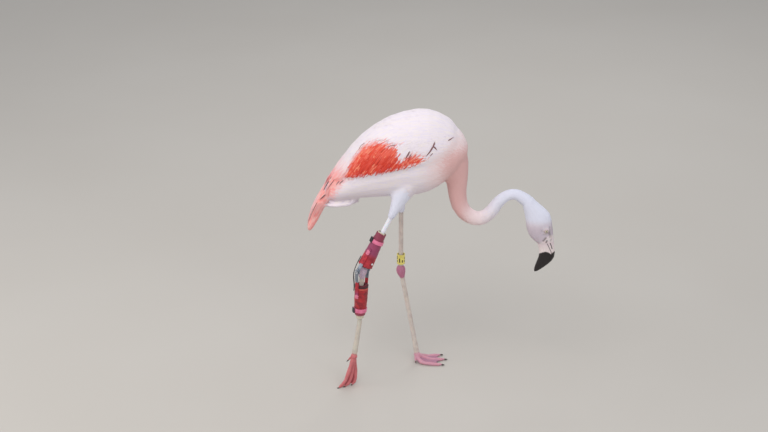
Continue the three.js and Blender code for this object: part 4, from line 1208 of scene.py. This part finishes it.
x, y, z = own(skin.points).T
eye_away = np.hypot(x - BEHIND_EYES, z - EYES.z / MM)
fields = {
    "leg": skin.bare_leg,
    "joint": skin.bare_leg * ramp(skin.even(skin.on("ankle"), 20), 0.1, 0.8),
    "foot": skin.even(skin.on(*FOOT_PARTS), 30),
    "web": skin.web,
    "rows": skin.rows,
    "plated": skin.plated,
    "near": skin.even(y < 0, 2),
    "white": skin.bare_leg * skin.even(skin.on("shank"), 20) * (y < 0),
    "lid": skin.bare_eye * ramp(eye_away, 8.5, 6.0),
    "face": np.maximum(skin.bare_face, skin.bare_eye),
    "tone": np.full(len(x), 0.4),
    "along": np.full(len(x), 0.0),
}
for name, values in fields.items():
    store(skin.mesh, name, values)
whole = add_object("whole", skin.mesh, skin_finish())
thin = whole.modifiers.new("thin", "DECIMATE")
thin.ratio = 0.5
skin_piece = add_object("skin", finished(whole))
make_smooth(skin_piece.data)
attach(skin_piece, "root")
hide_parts(*FLESH)

# ---------------------------------------------------------------- bill, eyes and claws

def smooth_piece(name, mesh, material, slot, *nodes):
    """A finished piece that stands for CAD nodes."""
    thing = add_object(name, mesh, material)
    make_smooth(mesh)
    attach(thing, "root")
    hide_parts(*nodes)
    return thing


# In side view: the nostril's groove along the upper bill, and the upper edge of each half's black.
NOSTRIL_GROOVE = ((445, 383), (447.5, 377), (451, 366))
BLACK_EDGE = {
    "bill_lower": ((414, 345.5), (420, 352), (427, 357), (433.5, 359), (440, 357.5), (446, 353),
                   (452, 347.5)),
    "bill_upper": ((440, 347.5), (448, 351.5), (453, 355), (459, 356.5)),
}
BILL_ROOM = 3.5  # how far the bill's root is drawn up into the face


def groove_depth(x, z, curve, width):
    """1 on a curve in side view and 0 at half a width from it."""
    places = along_track(curve, 60)[0]
    away = np.min([np.hypot(x - px, z - pz) for px, pz in places], axis=0)
    return ramp(away, width / 2, 0)


def bill_part(part, other, material):
    """Half of the bill, its root drawn up into the face so that no gap shows."""
    book = node_book([part], 0.12 * MM)
    root = np.array([vert.co.z for vert in book.verts]).max()
    for vert in book.verts:
        near = float(ramp(vert.co.z, root - 7 * MM, root - 1 * MM))
        vert.co += (CROWN - BILL_ROOT).normalized() * BILL_ROOM * MM * near
    mesh = remeshed(book, 0.68 * MM, 4)
    points, normals = surface_of(mesh)
    x, y, z = own(points).T
    against = BVHTree.FromBMesh(node_book([other]))
    gap = np.array([against.find_nearest(p)[3] for p in points]) / MM
    flank = ramp(np.abs(y), 3, 5)
    groove = groove_depth(x, z, NOSTRIL_GROOVE, 3.4) * flank * (part == "bill_upper")
    lip = np.exp(-((gap - 1.7) / 0.9) ** 2) * ramp(np.abs(normals[:, 1]), 0.2, 0.6)
    ripple = 0.04 * np.sin(z * 1.9 + x * 0.6) * ramp(z, 352, 340)
    press(mesh, points, normals, 1.1 * groove - 0.3 * lip - ripple)
    edge = between(BLACK_EDGE[part], x) + 0.5 * np.sin(x * 0.9) * np.sin(y * 0.7)
    store(mesh, "black", ramp(z - edge, 1.3, -1.3))
    # Painted shade: dark in the nostril groove and in the gape where the two halves meet.
    store(mesh, "line", np.clip(groove * 1.5 + ramp(gap, 1.3, 0.55), 0, 1))
    store(mesh, "base", ramp(z, 366, 384))
    smooth_piece(f"{part}_horn", mesh, material, "bill", part)


def bill_finish():
    made, graph, shader = finish("bill", Roughness=0.35, Coat_Roughness=0.2)
    black, line, base = (graph.attribute(name) for name in ("black", "line", "base"))
    streaks = graph.noise(300.0, 3.0, stretch=(1, 1, 0.15))
    spots = graph.noise(420.0, 2.0)
    horn = graph.mix(colour(244, 232, 230), colour(224, 204, 204), streaks)
    horn = graph.mix(horn, colour(224, 204, 210), base * 0.7)
    horn = graph.mix(horn, colour(170, 140, 144), spots.ramp(0.64, 0.72) * (1 - base) * 0.5)
    # Painted shade in the nostril groove and the gape.
    horn = graph.mix(horn, colour(44, 26, 32), line)
    tip = graph.mix(colour(16, 13, 14), colour(38, 29, 31), streaks)
    feed(graph, shader, height=streaks + spots * 0.5, relief=0.12, Base_Color=graph.mix(horn, tip, black),
         Roughness=0.42 - 0.12 * black + 0.1 * spots)
    return made


def eye_finish():
    made, graph, shader = finish("eye", Roughness=0.08, Coat_Weight=1.0, Coat_Roughness=0.02)
    turn = graph.attribute("turn")
    threads = graph.noise(900.0, 3.0)
    iris = graph.mix(colour(208, 198, 166), colour(228, 220, 198), threads.ramp(0.35, 0.65))
    iris = graph.mix(iris, colour(176, 156, 140), turn.ramp(0.42, 0.56))
    ball_colour = graph.mix(iris, colour(120, 98, 108), turn.ramp(0.54, 0.62))
    feed(graph, shader, Base_Color=graph.mix(colour(14, 10, 12), ball_colour, turn.ramp(0.19, 0.21)))
    return made


def eye(flank, material):
    centre = middle(f"eye_{flank}")
    book = bmesh.new()
    bmesh.ops.create_icosphere(book, subdivisions=5, radius=7.7 * MM)
    turns = []
    for vert in book.verts:
        turn = vert.co.angle(EYE_WAY[flank])
        turns.append(turn)
        vert.co += vert.co.normalized() * 0.5 * MM * math.exp(-(turn / 0.45) ** 2)
        vert.co += centre
    mesh = bpy.data.meshes.new("eye")
    book.to_mesh(mesh)
    book.free()
    store(mesh, "turn", turns)
    smooth_piece(f"eye_{flank}_ball", mesh, material, "eye", f"eye_{flank}")


def claw_finish():
    made, graph, shader = finish("claw", Roughness=0.4)
    streaks = graph.noise(500.0, 2.0, stretch=(0.3, 1, 1))
    feed(graph, shader, height=streaks, relief=0.1,
         Base_Color=graph.mix(colour(40, 32, 30), colour(84, 66, 60), streaks.ramp(0.3, 0.8)))
    return made


BILL = bill_finish()
bill_part("bill_upper", "bill_lower", BILL)
bill_part("bill_lower", "bill_upper", BILL)
EYE, CLAW = eye_finish(), claw_finish()
for flank in SIDES:
    eye(flank, EYE)
    for toe in TOES:
        node = f"claw_{flank}_{toe}"
        horn = remeshed(node_book([node], 0.1 * MM), 0.35 * MM, 3)
        smooth_piece(f"{node}_horn", horn, CLAW, "claw", node)


# ---------------------------------------------------------------- ring and brace

class Sleeve:
    """The axis and radii of a round CAD wall. Its distances run away from start."""

    def __init__(self, node, start, axis=None):
        book = node_book([node])
        points = np.array([vert.co for vert in book.verts])
        book.free()
        self.centre = points.mean(0)
        self.axis = np.linalg.svd(points - self.centre)[2][0] if axis is None else axis
        if (self.centre - np.array(start)) @ self.axis < 0:
            self.axis = -self.axis
        self.start = self.centre - self.axis * ((self.centre - np.array(start)) @ self.axis)
        along = (points - self.start) @ self.axis
        across = np.linalg.norm(points - self.start - np.outer(along, self.axis), axis=1)
        self.stations = np.unique(np.round(along / MM))
        near = [across[np.round(along / MM) == d] for d in self.stations]
        self.outer, self.inner = ([f(r) / MM for r in near] for f in (max, min))
        self.out = unit(np.cross(np.cross(self.axis, [0, -1.0, 0]), self.axis))
        self.rear = np.cross(self.out, self.axis) * (1 if np.cross(self.out, self.axis)[0] < 0 else -1)

    def radii(self, along):
        return [np.interp(along, self.stations, radii) for radii in (self.outer, self.inner)]

    def place(self, along, turn, radius):
        """A point this far along, at this turn from outward (-Y) to the rear, and this far out."""
        way = self.out * math.cos(turn) + self.rear * math.sin(turn)
        return self.start + self.axis * along * MM + way * radius * MM


def lathe(sleeve, profile, steps, bump):
    """A closed wall: a loop of (along, radius) turned about a sleeve and moved by bump."""
    corners, n = [], len(profile)
    for k in range(steps):
        turn = 2 * math.pi * k / steps
        for d, r in profile:
            d2, r2 = bump(d, turn, r)
            corners.append(sleeve.place(d2, turn, r2))
    faces = [(k * n + i, (k + 1) % steps * n + i, (k + 1) % steps * n + (i + 1) % n, k * n + (i + 1) % n)
             for k in range(steps) for i in range(n)]
    mesh = bpy.data.meshes.new("lathe")
    mesh.from_pydata(corners, [], faces)
    store(mesh, "down", [d for d, _ in profile] * steps)
    turns = np.repeat(np.arange(steps), n)[:, None] + (0, 1, 1, 0)
    store(mesh, "turn", turns.ravel() * 2 * math.pi / steps, "CORNER")
    book = bmesh.new()
    book.from_mesh(mesh)
    bmesh.ops.recalc_face_normals(book, faces=book.faces)
    book.to_mesh(mesh)
    book.free()
    return mesh


def wall(sleeve, step, rounding=0.8):
    """A sleeve's own section as a fine loop of (along, radius) with rounded ends."""
    low, high = sleeve.stations[0], sleeve.stations[-1]
    at = np.arange(low + rounding, high - rounding, step)
    outer, inner = sleeve.radii(at)
    loop = list(zip(at, outer))
    for d, sign in ((at[-1], 1), (at[0], -1)):
        o, i = sleeve.radii(d)
        half, mid = (o - i) / 2, (o + i) / 2
        turns = np.linspace(math.pi / 2, -math.pi / 2, 7)[1:-1]
        arc = [(d + sign * rounding * math.cos(t), mid + half * math.sin(t)) for t in turns]
        if sign > 0:
            loop += arc + list(zip(at[::-1], inner[::-1]))
        else:
            loop += arc[::-1]
    return loop


def wave(d, turn, seed, *terms):
    """A sum of waves over a wall: terms are (height, waves round, waves per 100 mm)."""
    return sum(height * math.sin(around * turn + along * d * 0.0628 + seed * (k + 1.7))
               for k, (height, around, along) in enumerate(terms))


def brace_colours(graph, down, noise):
    """The cuff's cloth from the joint outwards: red, then purple round the pad, then maroon."""
    red = graph.mix(colour(196, 44, 56), colour(150, 26, 44), noise.ramp(0.35, 0.7))
    purple = graph.mix(colour(132, 56, 98), colour(168, 64, 96), noise)
    maroon = graph.mix(colour(158, 62, 88), colour(126, 42, 66), noise)
    return graph.mix(graph.mix(red, purple, down.ramp(46, 62)), maroon, down.ramp(84, 92))


def cloth_finish(name, upper):
    made, graph, shader = finish(name, Roughness=0.42, Sheen_Weight=0.1)
    down, turn = graph.attribute("down"), graph.attribute("turn")
    noise = graph.noise(90.0, 4.0)
    if upper:
        cloth = brace_colours(graph, down, noise)
        rim = down.ramp(19.5, 16.5)
        cloth = graph.mix(cloth, colour(188, 96, 96), rim)
    else:
        cloth = graph.mix(colour(184, 36, 44), colour(128, 22, 34), noise.ramp(0.35, 0.7))
        cloth = graph.mix(cloth, colour(150, 66, 84), down.ramp(116, 120))
        cloth = graph.mix(cloth, colour(206, 84, 70), down.ramp(50, 46))
        cloth = graph.mix(cloth, colour(66, 20, 28), down.ramp(45, 43))
    weave = ((down * 9).call("SINE") + (turn * 150).call("SINE")) * 0.5
    scuffs = graph.noise(700.0, 3.0)
    feed(graph, shader, height=weave * 0.35 + scuffs * 0.5 + noise, relief=0.18,
         Base_Color=graph.mix(cloth, colour(214, 150, 150), scuffs.ramp(0.66, 0.76) * 0.35),
         Roughness=0.36 + 0.3 * noise)
    return made


def plain_finish(name, first, second, scale=200.0, relief=0.15, stretch=None, **sockets):
    """A surface of two near colours with a fine grain."""
    made, graph, shader = finish(name, **sockets)
    grain = graph.noise(scale, 3.0, stretch=stretch)
    broad = graph.noise(scale / 8, 2.0)
    base = graph.mix(first, second, broad.ramp(0.3, 0.7))
    feed(graph, shader, height=grain, relief=relief, Base_Color=base,
         Roughness=shader.inputs["Roughness"].default_value - 0.1 + 0.2 * grain)
    return made


def fleece_finish():
    """Cream fleece with painted shade: dark where it faces the joint."""
    made, graph, shader = finish("fleece", Roughness=0.95)
    pile, broad = graph.noise(900.0, 3.0), graph.noise(110.0, 2.0)
    cream = graph.mix(colour(228, 220, 200), colour(206, 192, 168), broad.ramp(0.3, 0.7))
    # Painted shade on the fleece by the joint.
    shaded_fleece = graph.mix(cream, colour(110, 44, 54), graph.attribute("down").ramp(50, 44))
    feed(graph, shader, height=pile, relief=0.5, Base_Color=shaded_fleece)
    return made


def webbing_finish():
    made, graph, shader = finish("webbing", Roughness=0.6, Sheen_Weight=0.2)
    down, turn = graph.attribute("down"), graph.attribute("turn")
    noise = graph.noise(120.0, 3.0)
    weave = (down * 7.0).call("SINE") * (turn * 90).call("SINE")
    base = graph.mix(colour(240, 130, 166), colour(222, 100, 140), noise.ramp(0.3, 0.7))
    base = graph.mix(base, colour(244, 168, 190), weave.ramp(0.4, 1.0) * 0.3)
    feed(graph, shader, height=weave, relief=0.08, Base_Color=base)
    return made


RING_BARS = 9


def ring_finish(low, high):
    """Yellow plastic with plain black bars round it."""
    made, graph, shader = finish("ring_plastic", Roughness=0.35, Coat_Weight=0.2)
    down, turn = graph.attribute("down"), graph.attribute("turn")
    noise = graph.noise(160.0, 3.0)
    sheet = graph.mix(colour(238, 226, 124), colour(222, 204, 104), noise.ramp(0.3, 0.7))
    share = (down - low) * (1.0 / (high - low))
    place = turn * (RING_BARS / 6.28318)
    beat, which = place.call("FRACT"), place.call("FLOOR")
    top = 0.62 + 0.2 * (which * 1.3).call("SINE")
    bars = beat.ramp(0.28, 0.31) * (1 - beat.ramp(0.66, 0.69))
    rows = share.ramp(0.2, 0.22) * (1 - share.math("SUBTRACT", share, top).ramp(0.0, 0.02))
    window = share.ramp(0.4, 0.42) * (1 - share.ramp(0.5, 0.52))
    window = window * (which * 2.1).call("SINE").ramp(0.0, 0.05)
    base = graph.mix(sheet, colour(24, 22, 20), bars * rows * (1 - window))
    feed(graph, shader, height=noise, relief=0.05, Base_Color=base)
    return made


def leg_ring():
    sleeve = Sleeve("ring_left", middle("ankle_left"))
    low, high = sleeve.stations[0], sleeve.stations[-1]

    def bump(d, turn, r):
        slit = math.exp(-((turn - 2.2) / 0.035) ** 2)
        return d, r - 0.7 * slit * (r > np.mean(sleeve.outer) - 0.4)

    mesh = lathe(sleeve, wall(sleeve, 0.8, 0.6), 120, bump)
    smooth_piece("ring", mesh, ring_finish(low, high), "ring", "ring_left")


def brace():
    joint = middle("ankle_right")
    lining = fleece_finish()
    webbing = webbing_finish()
    black = plain_finish("black_plastic", colour(30, 30, 34), colour(48, 46, 50), 400.0, 0.1,
                         Roughness=0.45)
    for name in ("upper", "lower"):
        upper = name == "upper"
        cuff = Sleeve(f"brace_cuff_{name}", joint)
        cloth = cloth_finish(f"cloth_{name}", upper)
        end = cuff.stations[-1]

        def crease(d, turn, r):
            ragged = 1.2 + wave(d, turn, 2, (0.7, 3, 0), (0.5, 7, 0), (0.3, 13, 0))
            ragged = ragged * ramp(d, end - 8, end)
            fold = 0.35 + wave(d, turn, 5, (0.16, 2, 5), (0.12, 3, -9), (0.1, 1, 16))
            hem = 0.25 * math.exp(-((d - cuff.stations[0] - 4) / 0.6) ** 2)
            on_outside = r > cuff.radii(d)[1] + 1
            return d - (ragged if upper else 0.3 * ragged), r - (fold + hem) * on_outside

        mesh = lathe(cuff, wall(cuff, 1.2), 96, crease)
        smooth_piece(f"cuff_{name}", mesh, cloth, "cuff", f"brace_cuff_{name}")

        inside = Sleeve(f"brace_lining_{name}", joint)

        def fleece(d, turn, r):
            return d, r - 0.15 - abs(wave(d, turn, 3, (0.12, 5, 20), (0.1, 11, -31)))

        mesh = lathe(inside, wall(inside, 1.0, 0.5), 72, fleece)
        smooth_piece(f"fleece_{name}", mesh, lining, "lining", f"brace_lining_{name}")

        strap = Sleeve(f"brace_strap_{name}", joint, cuff.axis)

        def ribs(d, turn, r):
            return d, r - 0.04 * (1 + math.cos(d * 4.2)) * (r > strap.radii(d)[1] + 1)

        mesh = lathe(strap, wall(strap, 0.5, 0.5), 80, ribs)
        smooth_piece(f"webbing_{name}", mesh, webbing, "strap", f"brace_strap_{name}")

        block = remeshed(node_book([f"brace_buckle_{name}"], -0.05 * MM), 0.4 * MM, 5)
        points, normals = surface_of(block)
        along = (points - cuff.start) @ cuff.axis / MM
        press(block, points, normals, 0.35 * ramp(np.cos(along * 2.6), 0.5, 0.95))
        smooth_piece(f"buckle_{name}", block, black, "dark_strap", f"brace_buckle_{name}")
        for face in ("outer", "inner"):
            bar(cuff, face, name, joint)

    steel = plain_finish("steel_cap", colour(176, 180, 186), colour(140, 144, 150), 300.0, 0.05,
                         Roughness=0.3, Metallic=1.0)
    for face in ("outer", "inner"):
        node = f"brace_pivot_{face}"
        cap = remeshed(node_book([node], -0.1 * MM), 0.3 * MM, 6)
        points, normals = surface_of(cap)
        offset = points - points.mean(0)
        slot = ramp(np.abs(offset[:, 2] + offset[:, 0]) / MM, 1.0, 0.5)
        press(cap, points, normals, 0.8 * slot * ramp(np.abs(normals[:, 1]), 0.5, 0.8))
        smooth_piece(f"pivot_{face}", cap, steel, "hinge", node)
    bright = plain_finish("bright_stud", colour(236, 234, 234), colour(214, 212, 214), 300.0, 0.03,
                          Roughness=0.15)
    stud = remeshed(node_book(["brace_stud"], 0.1 * MM), 0.25 * MM, 8)
    smooth_piece("stud", stud, bright, "hinge", "brace_stud")
    elastic = plain_finish("elastic", colour(44, 36, 42), colour(66, 52, 58), 260.0, 0.4, (1, 1, 4),
                           Roughness=0.8)
    strap = remeshed(node_book(["brace_rear_strap"], -0.05 * MM), 0.55 * MM, 3)
    points, normals = surface_of(strap)
    press(strap, points, normals, 0.18 * (1 + np.cos(points[:, 2] / MM * 3.0)) / 2)
    smooth_piece("rear_strap", strap, elastic, "dark_strap", "brace_rear_strap")


def bar_finish():
    """Bare steel by the pivot, under a sewn cloth cover along the cuff, with a pad on the rivet."""
    made, graph, shader = finish("hinge_bar", Roughness=0.35)
    metal, pad, down = graph.attribute("metal"), graph.attribute("pad"), graph.attribute("down")
    noise = graph.noise(150.0, 3.0)
    brushed = graph.noise(900.0, 2.0, stretch=(1, 1, 0.1))
    steel = graph.mix(colour(168, 176, 188), colour(120, 126, 138), brushed)
    cover = graph.mix(brace_colours(graph, down, noise), colour(226, 122, 150), pad)
    feed(graph, shader, height=noise + brushed, relief=0.12, Base_Color=graph.mix(cover, steel, metal),
         Metallic=metal, Roughness=0.5 - 0.15 * metal + 0.1 * noise)
    return made


RIVETS = {"upper": 60, "lower": 68}  # how far down each cuff its bars' rivets sit


def bar(cuff, face, name, joint):
    node = f"brace_bar_{face}_{name}"
    mesh = remeshed(node_book([node], -0.05 * MM), 0.6 * MM, 3)
    points = read(mesh.vertices, "co", 3)
    down = (points - cuff.start) @ cuff.axis / MM
    axis, away = Vector(cuff.axis), middle(node) - joint
    way = unit(away - axis * (away @ axis))
    across = np.cross(cuff.axis, np.array(way))
    aside = (points - cuff.start) @ across / MM
    store(mesh, "down", down)
    store(mesh, "metal", ramp(down, 26, 23))
    store(mesh, "pad", ramp(np.hypot(down - RIVETS[name], aside), 7.2, 6.6))
    smooth_piece(f"bar_{face}_{name}", mesh, BAR, "hinge", node)


BAR = bar_finish()
leg_ring()
brace()

# ---------------------------------------------------------------- floor, light and camera

# Each lamp's name, place from the bird's middle, size, power and tint.
LAMPS = (
    ("key", (-0.9, -1.6, 3.0), 2.0, 40, (1, 0.97, 0.94)),
    ("fill", (1.4, -3.0, 1.8), 2.4, 28, (0.95, 0.97, 1)),
    ("rim", (0.6, 2.4, 2.2), 1.6, 20, (1, 1, 1)),
    ("side", (-2.6, -0.5, 1.0), 1.6, 16, (1, 0.98, 0.95)),
)


def studio():
    floor_mesh = bpy.data.meshes.new("floor")
    floor_mesh.from_pydata([(-15, -15, 0), (15, -15, 0), (15, 15, 0), (-15, 15, 0)], [], [(0, 1, 2, 3)])
    paint, graph, shader = finish("floor_paint", Roughness=0.85)
    base = graph.mix(colour(196, 190, 182), colour(202, 197, 190), graph.noise(1.5))
    feed(graph, shader, Base_Color=base)
    add_object("floor", floor_mesh, paint)
    world = bpy.data.worlds.new("studio")
    world.use_nodes = True
    world.node_tree.nodes["Background"].inputs[0].default_value = (0.92, 0.95, 1.0, 1)
    world.node_tree.nodes["Background"].inputs[1].default_value = 0.55
    bpy.context.scene.world = world
    for name, offset, size, power, tint in LAMPS:
        data = bpy.data.lights.new(name, "AREA")
        data.energy, data.size, data.color = power, size, tint
        lamp = bpy.data.objects.new(name, data)
        bpy.context.scene.collection.objects.link(lamp)
        target = placed(60, 0, 480)
        lamp.location = target + Vector(offset)
        lamp.rotation_euler = (target - lamp.location).to_track_quat("-Z", "Y").to_euler()


def camera():
    aim, distance, height = placed(0, 0, 458), 5.0, math.radians(24)
    data = bpy.data.cameras.new("camera")
    data.sensor_width, data.lens = 36.0, 87.9
    made = bpy.data.objects.new("camera", data)
    bpy.context.scene.collection.objects.link(made)
    made.location = aim + Vector((0, -math.cos(height), math.sin(height))) * distance
    made.rotation_euler = (math.pi / 2 - height, 0, 0)
    bpy.context.scene.camera = made


bpy.context.scene.view_settings.view_transform = "Standard"
studio()
camera()
bpy.context.view_layer.update()
